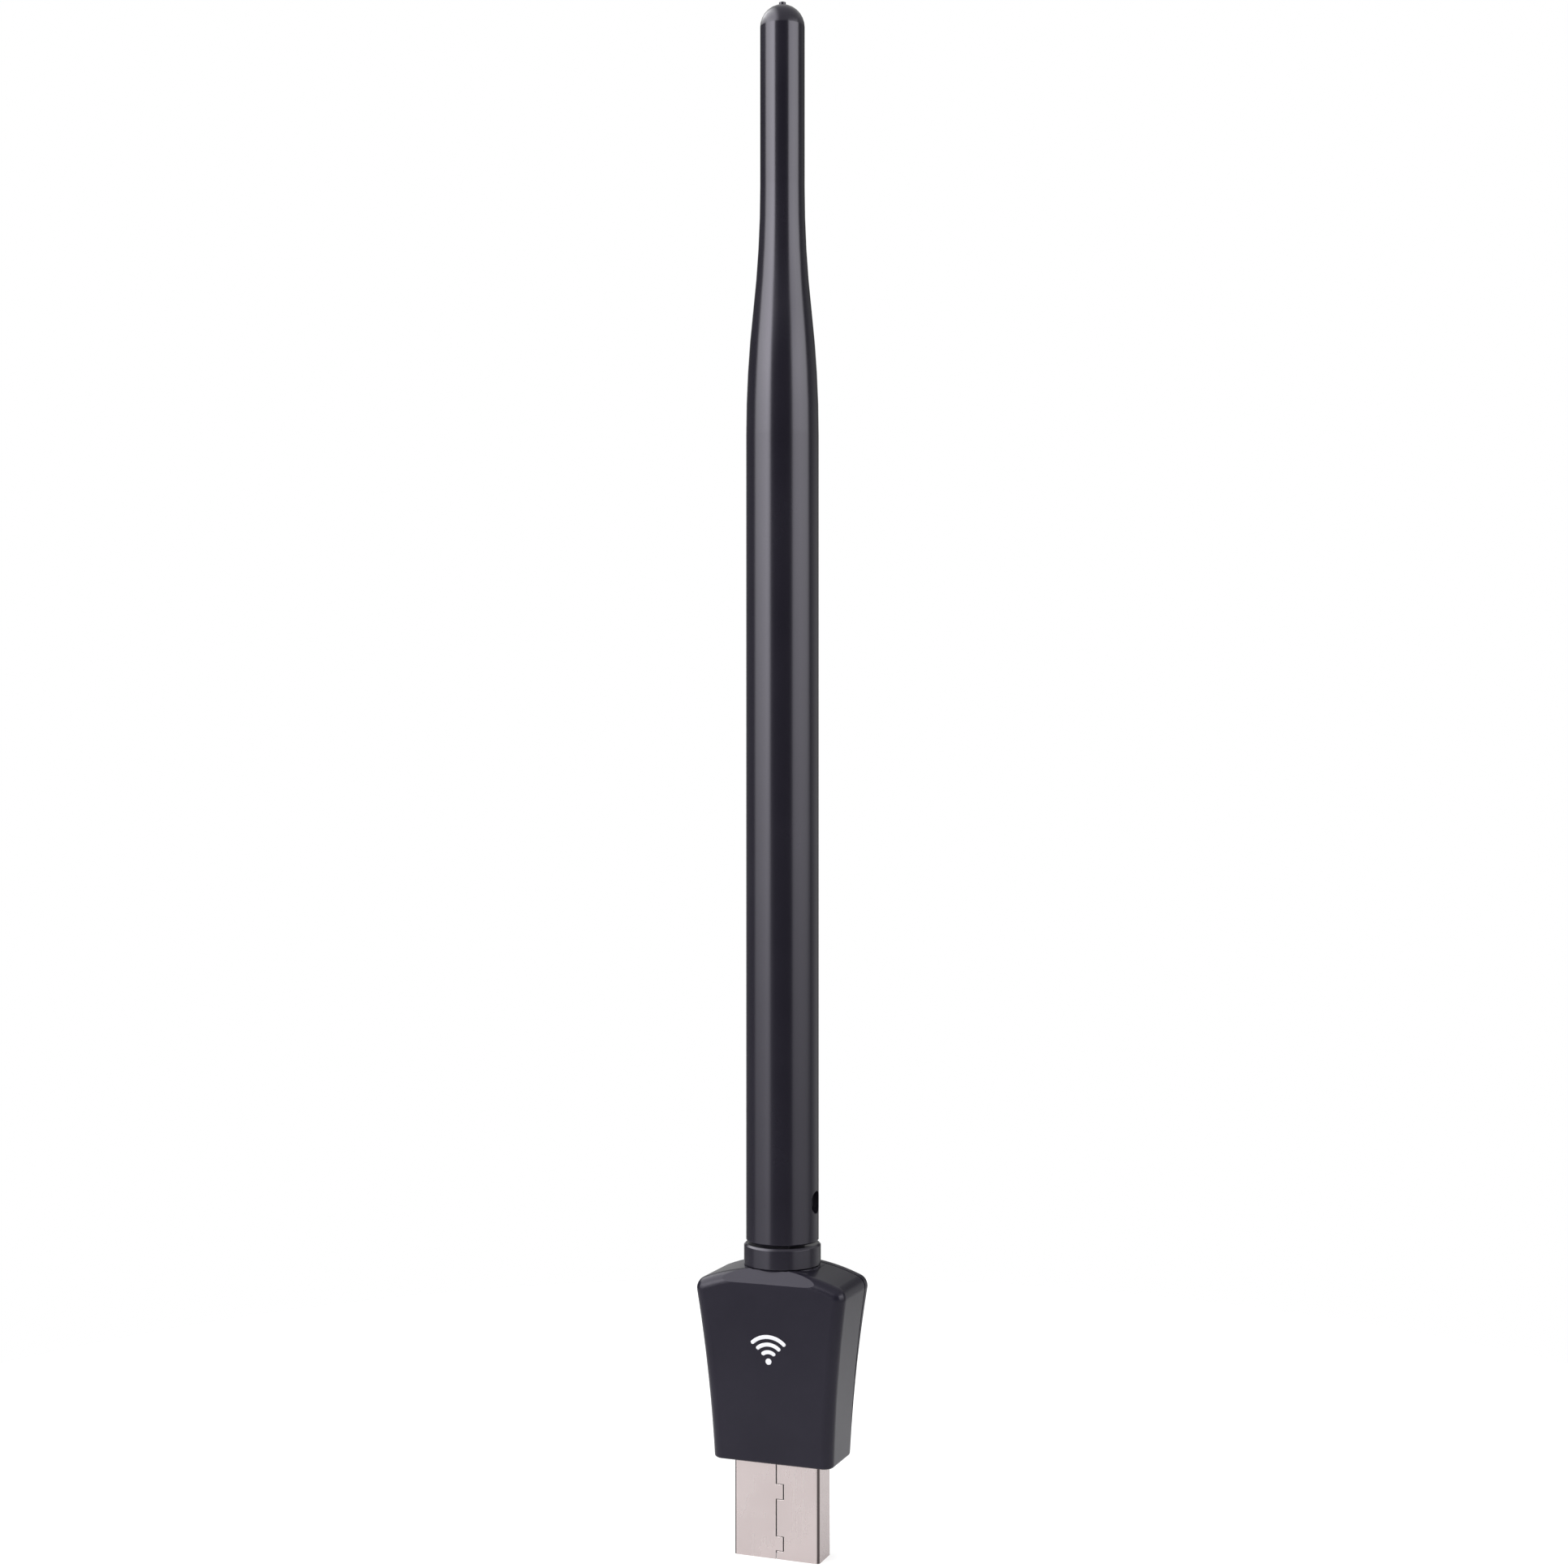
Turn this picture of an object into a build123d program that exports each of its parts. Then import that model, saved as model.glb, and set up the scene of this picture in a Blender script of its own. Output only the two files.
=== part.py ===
from build123d import *

import math
import os

# A USB wifi adapter that stands on its plug: a flared casing above the plug, a swivelling collar on
# the casing, and a long antenna hinged on the collar. Millimetres. The origin is the centre of the
# plug's open end, +Z runs up the antenna, -Y is the front face and +X is its right-hand side.

# Plug: the standard rectangular USB type A section
PLUG_WIDTH = 12.0
PLUG_THICKNESS = 4.5
PLUG_REACH = 13.0           # plug length that stands out of the casing
PLUG_TAIL = 5.0             # plug length held inside the casing
PLUG_SHEET = 0.3            # shell metal
PLUG_CORNER = 0.5
SEAM_GAP = 0.16             # slit where the folded sheet meets on the front face
SEAM_STEP = 1.0             # how far each dovetail shifts the slit sideways
SEAM_TABS = ((1.1, 3.0), (7.9, 9.9))
WINDOW_SPACING = 4.5        # latch windows in the rear face
WINDOW_WIDTH = 2.5
WINDOW_HEIGHT = 2.0
WINDOW_Z = 6.2
LEG_LENGTH = 2.4            # solder legs behind the shell
LEG_DEPTH = 2.2
TONGUE_START = 0.6          # how far the plastic tongue stays behind the mouth
TONGUE_CHAMFER = 0.3
CONTACT_WIDTH = 1.0
CONTACT_SHEET = 0.25
CONTACT_PLACES = ((-3.5, 1.2), (-1.0, 2.2), (1.0, 2.2), (3.5, 1.2))   # x, height of the front end
CONTACT_FOOT = 1.6          # length soldered on the board
CONTACT_GAP = 0.02          # between a contact and its groove
REAR_BLOCK = 6.0            # length of the insulator that fills the shell

# Casing: flared, with concave sides and an arched top
SIDE_MARGIN = 2.35          # casing beside the plug
DEPTH_MARGIN = 2.1          # casing in front of and behind the plug
SHOULDER_FLARE = 2.25       # how much wider each side is at the shoulder
SHOULDER_RISE = 23.4        # shoulder's height above the casing's bottom
CROWN_RISE = 2.3            # arch above the shoulders
SIDE_HOLLOW = 0.35          # how far the side curves in from a straight line
WALL = 1.2
SHOULDER_ROUND = 1.6        # seen from the front
EDGE_ROUND = 1.4            # long edges of the front and rear faces
BOTTOM_ROUND = 0.4
SMALLEST_ROUND = 0.2
BEVEL_RISE = 1.9            # band along the top of the front and rear faces
BEVEL_RUN = 1.09
REVEAL_WIDTH = 0.3          # shadow groove beside the parting line
REVEAL_DEPTH = 0.25

# Antenna
ANTENNA_RADIUS = 4.82
ANTENNA_TOP_RADIUS = 2.96
ANTENNA_LENGTH = 163.6      # foot to the top of the dome
THIN_LENGTH = 24.1          # thin tube above the S-shaped neck, dome included
NECK_LENGTH = 33.0          # S-shaped neck
NUB_RADIUS = 0.45
NUB_HEIGHT = 0.35
FOOT_ROUND = 0.2
FOOT_SOLID = 13.0           # solid foot below the bore
TUBE_WALL = 1.42
TUBE_TOP_WALL = 1.21
TIP_WALL = 4.0
BORE_LEAD = 2.0             # the bore narrows this much lower than the outside does

# Swivel: a collar on the casing with a captured flange under its top wall
COLLAR_LIP = 0.28           # collar beyond the antenna's radius
COLLAR_HEIGHT = 2.7
COLLAR_CHAMFER = 0.25
SEAT_MARGIN = 0.5           # casing beyond the collar, front and rear
SEAT_DROP = 0.25            # flat seat below the crown's highest line
SWIVEL_GAP = 0.15           # axial gap under the collar
FLANGE_THICKNESS = 1.0
FLANGE_PLAY = 0.1
FLANGE_WALL_GAP = 0.4       # flange's rim to the casing's inside
FLANGE_LIP = 0.8            # flange beyond the neck
NECK_WALL = 1.45            # thickness of the casing ring that the neck runs in
STOP_HEIGHT = 0.9
STOP_WIDTH = 1.15           # stop lug, measured outwards
SWIVEL_LIMIT = 160.0        # degrees that the antenna turns each way
STOP_PLAY = 0.5             # degrees left between lug and rib at the limit
STOP_SHELF_GAP = 0.25
STOP_RIB_WIDTH = 1.0
STOP_RIB_GAP = 0.2
SHELF_LAP = 0.6             # shelves that carry the flange's rim from below
SHELF_HALF_WIDTH = 1.0

# Hinge: a tongue on the collar between the antenna's ears
ANTENNA_GAP = 0.3           # between collar and antenna foot
FOLD_CLEARANCE = 0.48       # foot beyond the antenna's radius, below the hinge axis
TONGUE_THICKNESS = 4.2
TONGUE_RADIUS = 2.8
TONGUE_SIDE_GAP = 0.2
TONGUE_ROUND_GAP = 0.15
PIN_RADIUS = 1.0
PIN_END_GAP = 0.1
RUNNING_GAP = 0.05
PRESS_GAP = 0.01
SIDE_HOLE_MARGIN = 0.5      # visible side hole beyond the pin's radius
SIDE_HOLE_DEPTH = 1.12

# Antenna cable
CABLE_RADIUS = 0.565
CABLE_CHANNEL_GAP = 0.285   # play in its passages
CABLE_BOARD_GAP = 0.02
CABLE_ON_BOARD = 3.6        # length that lies on the board
CABLE_HINGE_TAIL = 7.0      # how far the bending stretch runs above the hinge axis
CLAMP_TOP = 0.8             # clamp, measured down from the board's top
CLAMP_LENGTH = 1.6
CLAMP_HALF_WIDTH = 1.9
CLAMP_SHEET = 0.2

# Radiator: quarter-wave sleeve and collinear wires
SLEEVE_LENGTH = 28.0
SLEEVE_RADIUS = 2.3
SLEEVE_SHEET = 0.25
FERRULE_RADIUS = 1.25
FERRULE_LENGTH = 4.0
ROD_RADIUS = 0.45
ROD_LENGTH = 29.0
COIL_RADIUS = 1.2
COIL_WIRE = 0.35
COIL_PITCH = 1.5
COIL_TURNS = 5
COIL_TAIL = 1.2
COIL_ELBOW = 1.05           # the turned-in corner is a little thicker than the wire
TIP_WIRE_LENGTH = 31.0
TIP_WIRE_GAP = 13.0         # free bore above the wire
SPACER_LENGTH = 3.0
SPACER_RISE = 14.0          # spacer's place on the rod

# Circuit board and its parts. A part's rise is its middle's height above the board's lower end, and
# its drop is measured down from the board's top.
BOARD_THICKNESS = 0.8
BOARD_SIDE_GAP = 0.35
BOARD_TOP_GAP = 2.0         # below the swivel's stop lug
BOARD_GAP = 0.15            # behind the shell
BOARD_CORNER = 0.5
LEG_SLOT_GAP = 0.08
PART_GAP = 0.05             # general gap between pieces that don't touch
WIFI_CHIP = {"x": 2.0, "rise": 8.0, "width": 5.0, "length": 5.0, "height": 0.85, "dimple": 0.25}
RF_AMPLIFIER = {"x": -3.8, "drop": 2.0, "width": 2.4, "length": 2.4, "height": 0.7, "dimple": 0.15}
ANTENNA_FILTER = {"x": 3.6, "drop": 1.4, "width": 2.0, "length": 1.25, "height": 0.8}
CRYSTAL_TRAY = {"x": -4.5, "rise": 8.2, "width": 2.5, "length": 3.2, "height": 0.55}
CRYSTAL_LID = 0.15
REGULATOR = {"x": -3.95, "rise": 3.9, "width": 1.6, "length": 2.9, "height": 1.0}
REGULATOR_LEGS = ((-1, (-0.95, 0.0, 0.95)), (1, (-0.95, 0.95)))
LEG_SHEET = 0.15
LEG_WIDTH = 0.4
INDUCTOR = {"x": -0.7, "rise": 3.9}
INDUCTOR_WIDTH = 2.5
INDUCTOR_HEIGHT = 1.2
INDUCTOR_FLANGE = 0.35
INDUCTOR_CORE = 1.0
CHIP_WIDTH = 0.5
CHIP_LENGTH = 1.0
CAPACITOR_HEIGHT = 0.5
RESISTOR_HEIGHT = 0.35
CAP_LIP = 0.02              # metal end caps stand proud of a chip's sides
CAPACITOR_PLACES = ((2.0, 3.0), (3.2, 3.0), (2.0, 4.8), (3.2, 4.8), (-2.4, 6.6), (-2.4, 8.4), (-1.8, 10.6),
                    (5.7, 6.5), (5.7, 8.4))
RESISTOR_PLACES = ((4.4, 3.0), (4.4, 4.8), (5.7, 10.4), (-6.4, 8.2), (2.6, 11.6))

# Posts and snap hooks inside the covers
POST_RADIUS = 0.6
FRONT_POST_INSET = 0.9      # from the board's edge
REAR_POST_X = 4.6
HOOK_LENGTH = 3.0
HOOK_THICKNESS = 0.8
HOOK_BARB = 0.5
HOOK_REACH = 1.9            # how far the hooks reach forward of the parting line
HOOK_GAP = 0.1
BARB_LENGTH = 0.8
HOOK_RISES = (4.6, 18.0)    # above the casing's bottom

# Widths and depths that follow from the sizes above
COLLAR_RADIUS = ANTENNA_RADIUS + COLLAR_LIP
CASING_HALF_BOTTOM = PLUG_WIDTH / 2 + SIDE_MARGIN
SHOULDER_HALF = CASING_HALF_BOTTOM + SHOULDER_FLARE
CASING_HALF_DEPTH_BOTTOM = PLUG_THICKNESS / 2 + DEPTH_MARGIN
CASING_HALF_DEPTH_TOP = COLLAR_RADIUS + SEAT_MARGIN
PARTING_Y = CASING_HALF_DEPTH_BOTTOM - WALL     # the front cover is a tray, the rear one a lid
FLANGE_RADIUS = CASING_HALF_DEPTH_TOP - WALL - FLANGE_WALL_GAP
NECK_RADIUS = FLANGE_RADIUS - FLANGE_LIP
SHELF_START = FLANGE_RADIUS - SHELF_LAP
STOP_OUTER = SHELF_START - STOP_SHELF_GAP
STOP_INNER = STOP_OUTER - STOP_WIDTH
STOP_RIB_TURN = math.degrees(math.atan2(STOP_RIB_WIDTH / 2, STOP_INNER))
STOP_LUG_HALF_TURN = 180 - SWIVEL_LIMIT - STOP_RIB_TURN - STOP_PLAY
SIDE_HOLE_RADIUS = PIN_RADIUS + SIDE_HOLE_MARGIN
SIDE_HOLE_FLOOR = ANTENNA_RADIUS - SIDE_HOLE_DEPTH
PIN_END_X = SIDE_HOLE_FLOOR - PIN_END_GAP
CABLE_CHANNEL = CABLE_RADIUS + CABLE_CHANNEL_GAP
CABLE_RISE = CABLE_RADIUS + CABLE_BOARD_GAP
BORE_RADIUS = ANTENNA_RADIUS - TUBE_WALL
BORE_TOP_RADIUS = ANTENNA_TOP_RADIUS - TUBE_TOP_WALL

# Heights that follow from the sizes above
CASING_BOTTOM = PLUG_REACH
SHOULDER_Z = CASING_BOTTOM + SHOULDER_RISE
CROWN_Z = SHOULDER_Z + CROWN_RISE
SEAT_Z = CROWN_Z - SEAT_DROP
COLLAR_BOTTOM = SEAT_Z + SWIVEL_GAP
COLLAR_TOP = COLLAR_BOTTOM + COLLAR_HEIGHT
RING_BOTTOM = SEAT_Z - NECK_WALL
FLANGE_TOP = RING_BOTTOM - FLANGE_PLAY
FLANGE_BOTTOM = FLANGE_TOP - FLANGE_THICKNESS
STOP_BOTTOM = FLANGE_BOTTOM - STOP_HEIGHT
BOARD_BOTTOM = PLUG_REACH + PLUG_TAIL + BOARD_GAP
BOARD_TOP = STOP_BOTTOM - BOARD_TOP_GAP
ANTENNA_FOOT = COLLAR_TOP + ANTENNA_GAP
HINGE_Z = ANTENNA_FOOT + ANTENNA_RADIUS + FOLD_CLEARANCE
ANTENNA_TIP = ANTENNA_FOOT + ANTENNA_LENGTH
THIN_START = ANTENNA_TIP - THIN_LENGTH
NECK_START = THIN_START - NECK_LENGTH
CABLE_SPLIT_Z = RING_BOTTOM
CABLE_TAIL_Z = HINGE_Z + CABLE_HINGE_TAIL
TIP_WIRE_LOW = ANTENNA_TIP - TIP_WIRE_GAP - TIP_WIRE_LENGTH
COIL_LOW = TIP_WIRE_LOW - COIL_TAIL - COIL_PITCH * COIL_TURNS
ROD_TOP = COIL_LOW - COIL_TAIL
ROD_LOW = ROD_TOP - ROD_LENGTH
FERRULE_TOP = ROD_LOW + FERRULE_LENGTH / 4
FERRULE_BOTTOM = FERRULE_TOP - FERRULE_LENGTH
CABLE_END = FERRULE_TOP - FERRULE_LENGTH / 2
SLEEVE_TOP = CABLE_END
SLEEVE_LOW = SLEEVE_TOP - SLEEVE_LENGTH

# The side curve's circle, from its chord and how far it curves in
CHORD = math.hypot(SHOULDER_FLARE, SHOULDER_RISE)
SIDE_CURVE_RADIUS = CHORD ** 2 / (8 * SIDE_HOLLOW) + SIDE_HOLLOW / 2
SIDE_CURVE_REACH = SIDE_CURVE_RADIUS - SIDE_HOLLOW
SIDE_CENTRE_X = CASING_HALF_BOTTOM + SHOULDER_FLARE / 2 + SIDE_CURVE_REACH * SHOULDER_RISE / CHORD
SIDE_CENTRE_Z = CASING_BOTTOM + SHOULDER_RISE / 2 - SIDE_CURVE_REACH * SHOULDER_FLARE / CHORD
CROWN_RADIUS = (SHOULDER_HALF ** 2 + CROWN_RISE ** 2) / (2 * CROWN_RISE)

MIN_ALL = (Align.MIN, Align.MIN, Align.MIN)
MIN_UP = (Align.CENTER, Align.CENTER, Align.MIN)


def block(x, y, z):
    """A box from three (low, high) pairs."""
    size = Box(x[1] - x[0], y[1] - y[0], z[1] - z[0], align=MIN_ALL)
    return Pos(x[0], y[0], z[0]) * size


def upright(radius, low, high, x=0.0, y=0.0):
    """A vertical cylinder between two heights."""
    return Pos(x, y, low) * Cylinder(radius, high - low, align=MIN_UP)


def across(radius, x0, x1, z):
    """A cylinder along X through the axis plane."""
    return Pos(x0, 0, z) * Rot(0, 90, 0) * Cylinder(radius, x1 - x0, align=MIN_UP)


def post(radius, x, z, y0, y1):
    """A cylinder along Y."""
    return Pos(x, y0, z) * Rot(-90, 0, 0) * Cylinder(radius, y1 - y0, align=MIN_UP)


def half_width(z):
    """Half of the casing's outer width at a height on its curved side."""
    return SIDE_CENTRE_X - math.sqrt(SIDE_CURVE_RADIUS ** 2 - (z - SIDE_CENTRE_Z) ** 2)


def half_depth(z):
    """Half of the casing's outer depth at a height below the bevel."""
    share = (z - CASING_BOTTOM) / (CROWN_Z - BEVEL_RISE - CASING_BOTTOM)
    return CASING_HALF_DEPTH_BOTTOM + share * (CASING_HALF_DEPTH_TOP - CASING_HALF_DEPTH_BOTTOM)


# ---------------------------------------------------------------- casing

def front_outline(inset):
    """The casing seen from the front, all sides moved in by an inset."""
    low = CASING_BOTTOM + inset
    height = CROWN_Z - low
    half = SHOULDER_HALF + WALL
    outline = Pos(0, low + height / 2) * Rectangle(2 * half, height)
    for side in (-1, 1):
        outline -= Pos(side * SIDE_CENTRE_X, SIDE_CENTRE_Z) * Circle(SIDE_CURVE_RADIUS + inset)
    outline &= Pos(0, CROWN_Z - CROWN_RADIUS) * Circle(CROWN_RADIUS - inset)
    corners = outline.vertices().sort_by(Axis.Y)[-2:]
    return fillet(corners, max(SHOULDER_ROUND - inset, SMALLEST_ROUND))


def side_outline(inset, bevelled):
    """The casing seen from the side: tapering faces, with or without the bevel at the top."""
    bevel_z = CROWN_Z - BEVEL_RISE
    overshoot = 1.0
    steps = 1.0 + overshoot / BEVEL_RISE
    bottom = half_depth(CASING_BOTTOM)
    if bevelled:
        rise = CASING_HALF_DEPTH_TOP
        top = rise - BEVEL_RUN * steps
        right = [(bottom, CASING_BOTTOM), (rise, bevel_z), (top, bevel_z + BEVEL_RISE * steps)]
    else:
        top_z = CROWN_Z + overshoot
        right = [(bottom, CASING_BOTTOM), (half_depth(top_z), top_z)]
    left = [(-y, z) for y, z in reversed(right)]
    outline = make_face(Polyline(*right, *left, close=True))
    if inset > 0:
        outline = offset(outline, amount=-inset, kind=Kind.INTERSECTION)
    return outline


def casing_body(inset=0.0):
    """The casing's solid envelope, moved in by an inset."""
    reach = 2 * SHOULDER_HALF
    body = extrude(Plane.XZ * front_outline(inset), amount=reach, both=True)
    body &= extrude(Plane.YZ * side_outline(inset, False), amount=reach, both=True)
    rim = [e for e in body.edges() if abs(e.center().Y) > 1 and e.center().Z > CASING_BOTTOM + 2]
    rim = [e for e in rim if e.bounding_box().size.Y < 2]
    body = fillet(rim, max(EDGE_ROUND - inset, SMALLEST_ROUND))
    body &= extrude(Plane.YZ * side_outline(inset, True), amount=reach, both=True)
    if inset == 0:
        body = fillet(body.faces().sort_by(Axis.Z)[0].edges(), BOTTOM_ROUND)
    return body


def casing_shell():
    """Both covers in one piece, before they part."""
    shell = casing_body() - casing_body(WALL)
    shell -= upright(COLLAR_RADIUS + SWIVEL_GAP, SEAT_Z, CROWN_Z + 1)
    shell += upright(COLLAR_RADIUS, RING_BOTTOM, SEAT_Z) & extrude(
        Plane.YZ * side_outline(0, True), amount=SHOULDER_HALF, both=True)
    shell -= upright(NECK_RADIUS + RUNNING_GAP, RING_BOTTOM - 1, SEAT_Z + 1)
    half = PLUG_WIDTH / 2 + PART_GAP
    deep = PLUG_THICKNESS / 2 + PART_GAP
    opening = (CASING_BOTTOM - 1, CASING_BOTTOM + WALL + 1)
    return shell - block((-half, half), (-deep, deep), opening)


def rear_zone(gap):
    """The space of the rear cover: the lid, and its tabs behind the plug and the swivel's neck."""
    far = 2 * SHOULDER_HALF
    plug_half = PLUG_WIDTH / 2 + PART_GAP - gap
    neck_half = COLLAR_RADIUS - gap
    zone = block((-far, far), (PARTING_Y, far), (0, 2 * CROWN_Z))
    zone += block((-plug_half, plug_half), (PLUG_THICKNESS / 2, far), (0, CASING_BOTTOM + WALL + gap))
    zone += block((-neck_half, neck_half), (gap, far), (RING_BOTTOM - 1, 2 * CROWN_Z))
    return zone


def hook_places():
    """Side and height of each snap hook."""
    return [(side, CASING_BOTTOM + rise) for side in (-1, 1) for rise in HOOK_RISES]


def hook_face(z):
    """Distance from the middle to a hook's outer face."""
    return half_width(z - HOOK_LENGTH / 2) - WALL - HOOK_GAP


def sided(side, near, far):
    """An x range on one side of the middle."""
    return (near, far) if side > 0 else (-far, -near)


def front_cover(shell):
    cover = shell - rear_zone(0)
    inner = CASING_HALF_DEPTH_TOP
    for side, z in hook_places():
        pocket = sided(side, hook_face(z) - HOOK_GAP, half_width(z) - WALL + HOOK_BARB)
        low = PARTING_Y - HOOK_REACH - PART_GAP
        tall = HOOK_LENGTH / 2 + HOOK_GAP
        cover -= block(pocket, (low, low + BARB_LENGTH + 2 * HOOK_GAP), (z - tall, z + tall))
    for side in (-1, 1):
        for z in (BOARD_BOTTOM + LEG_LENGTH + 2 * POST_RADIUS, BOARD_TOP - 2 * POST_RADIUS):
            pillar = post(POST_RADIUS, side * (board_half() - FRONT_POST_INSET), z, -inner, -PART_GAP)
            cover += pillar & casing_body(WALL / 2)
        shelf_top = FLANGE_BOTTOM - FLANGE_PLAY
        shelf = block(sided(side, SHELF_START, SHOULDER_HALF), (-SHELF_HALF_WIDTH, SHELF_HALF_WIDTH),
                      (shelf_top - STOP_HEIGHT, shelf_top))
        cover += shelf & casing_body(WALL / 2)
    return cover


def rear_cover(shell):
    cover = shell & rear_zone(PART_GAP)
    band = casing_body() - casing_body(REVEAL_DEPTH)
    far = 2 * SHOULDER_HALF
    cover -= band & block((-far, far), (PARTING_Y, PARTING_Y + REVEAL_WIDTH), (0, 2 * CROWN_Z))
    for side, z in hook_places():
        face = hook_face(z)
        low = PARTING_Y - HOOK_REACH
        span = (z - HOOK_LENGTH / 2, z + HOOK_LENGTH / 2)
        back = half_depth(z) - WALL / 2
        cover += block(sided(side, face - HOOK_THICKNESS, face), (low, back), span)
        barb = Polyline((face, low), (face + HOOK_BARB, low + BARB_LENGTH), (face, low + BARB_LENGTH),
                        close=True)
        wedge = Pos(0, 0, span[0]) * extrude(make_face(barb), amount=HOOK_LENGTH)
        cover += wedge if side > 0 else mirror(wedge, about=Plane.YZ)
    rest = BOARD_THICKNESS + PART_GAP
    for side in (-1, 1):
        for z in (BOARD_BOTTOM + LEG_LENGTH + 2 * POST_RADIUS, BOARD_TOP - 2 * POST_RADIUS):
            cover += post(POST_RADIUS, side * REAR_POST_X, z, rest, half_depth(z) - WALL / 2)
    rib_top = FLANGE_BOTTOM - STOP_RIB_GAP
    half = STOP_RIB_WIDTH / 2
    back = half_depth(rib_top) - WALL / 2
    cover += block((-half, half), (STOP_INNER, back), (STOP_BOTTOM, rib_top))
    return cover


# ---------------------------------------------------------------- plug

def plug_section(inset):
    """The plug's rounded rectangle, moved in by an inset."""
    radius = max(PLUG_CORNER - inset, SMALLEST_ROUND)
    return RectangleRounded(PLUG_WIDTH - 2 * inset, PLUG_THICKNESS - 2 * inset, radius)


def usb_shell():
    length = PLUG_REACH + PLUG_TAIL
    shell = extrude(plug_section(0) - plug_section(PLUG_SHEET), amount=length)
    for side in (-1, 1):
        wall = sided(side, PLUG_WIDTH / 2 - PLUG_SHEET, PLUG_WIDTH / 2)
        middle = BOARD_THICKNESS / 2
        depth = (middle - LEG_DEPTH / 2, middle + LEG_DEPTH / 2)
        shell += block(wall, depth, (length - PLUG_SHEET, length + LEG_LENGTH))
        window_x = side * WINDOW_SPACING / 2
        shell -= block((window_x - WINDOW_WIDTH / 2, window_x + WINDOW_WIDTH / 2), (0, PLUG_THICKNESS),
                       (WINDOW_Z - WINDOW_HEIGHT / 2, WINDOW_Z + WINDOW_HEIGHT / 2))
    return shell - seam(length)


def seam(length):
    """The slit on the front face, shifted sideways round each dovetail."""
    half = SEAM_GAP / 2
    wall = (-PLUG_THICKNESS, -PLUG_THICKNESS / 2 + 2 * PLUG_SHEET)
    stops = [0.0]
    for low, high in SEAM_TABS:
        stops += [low, high]
    stops.append(length)
    slit = None
    for i in range(len(stops) - 1):
        x = SEAM_STEP if i % 2 else 0.0
        top = stops[i + 1] + (1 if i == len(stops) - 2 else 0)
        low = stops[i] - (1 if i == 0 else 0)
        run = block((x - half, x + half), wall, (low, top))
        slit = run if slit is None else slit + run
    for z in stops[1:-1]:
        slit += block((-half, SEAM_STEP + half), wall, (z - half / 2, z + half / 2))
    return slit


def contact_path(x, start, gap):
    """A contact strip's space: straight along the tongue and onto the board."""
    half = CONTACT_WIDTH / 2 + gap
    rise = (start - gap, BOARD_BOTTOM + CONTACT_FOOT)
    return block((x - half, x + half), (-CONTACT_SHEET - gap, gap), rise)


def usb_insulator():
    """The tongue in the plug's front half, and the block behind it that fills the shell."""
    inset = PLUG_SHEET + PART_GAP
    deep = PLUG_THICKNESS / 2 - inset
    low = TONGUE_START
    top = PLUG_REACH + PLUG_TAIL - PLUG_SHEET
    step = top - REAR_BLOCK
    cut = TONGUE_CHAMFER
    side = Polyline((-deep, top), (-deep, low + cut), (cut - deep, low), (-cut, low), (0, low + cut),
                    (0, step), (deep, step), (deep, top), close=True)
    piece = extrude(Plane.YZ * make_face(side), amount=PLUG_WIDTH, both=True)
    piece &= extrude(plug_section(inset), amount=top)
    for x, start in CONTACT_PLACES:
        piece -= contact_path(x, start, CONTACT_GAP)
    return piece


def usb_contact(x, start):
    strip = contact_path(x, start, 0)
    nose = strip.faces().sort_by(Axis.Z)[0].edges().filter_by(Axis.X).sort_by(Axis.Y)[-1]
    return chamfer(nose, CONTACT_SHEET / 2)


# ---------------------------------------------------------------- circuit board

def board_half():
    """Half of the board's width, from the casing's inside at the board's lower end."""
    return half_width(BOARD_BOTTOM) - WALL - BOARD_SIDE_GAP


def circuit_board():
    half = board_half()
    board = block((-half, half), (0, BOARD_THICKNESS), (BOARD_BOTTOM, BOARD_TOP))
    board = fillet(board.edges().filter_by(Axis.Y), BOARD_CORNER)
    for side in (-1, 1):
        outer = PLUG_WIDTH / 2 + LEG_SLOT_GAP
        inner = PLUG_WIDTH / 2 - PLUG_SHEET - LEG_SLOT_GAP
        reach = PLUG_REACH + PLUG_TAIL + LEG_LENGTH + LEG_SLOT_GAP
        board -= block(sided(side, inner, outer), (-1, BOARD_THICKNESS + 1), (BOARD_BOTTOM - 1, reach))
    return board


def height_on_board(rise=None, drop=None):
    """A part's height from its rise above the board's lower end or its drop below the top."""
    return BOARD_BOTTOM + rise if drop is None else BOARD_TOP - drop


def square_part(x, z, width, length, low, high):
    """A block on the board's front face, between two distances from the face."""
    return block((x - width / 2, x + width / 2), (-high, -low), (z - length / 2, z + length / 2))


def chip(x, width, length, height, rise=None, drop=None, dimple=0.0):
    """A flat moulded part, its front edges chamfered, with an optional pin-one dimple."""
    z = height_on_board(rise, drop)
    body = square_part(x, z, width, length, 0, height)
    body = chamfer(body.faces().sort_by(Axis.Y)[0].edges(), height / 10)
    if dimple:
        body -= post(dimple, x - width / 2 + 3 * dimple, z + length / 2 - 3 * dimple,
                     -2 * height, -height * 0.85)
    return body


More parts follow.
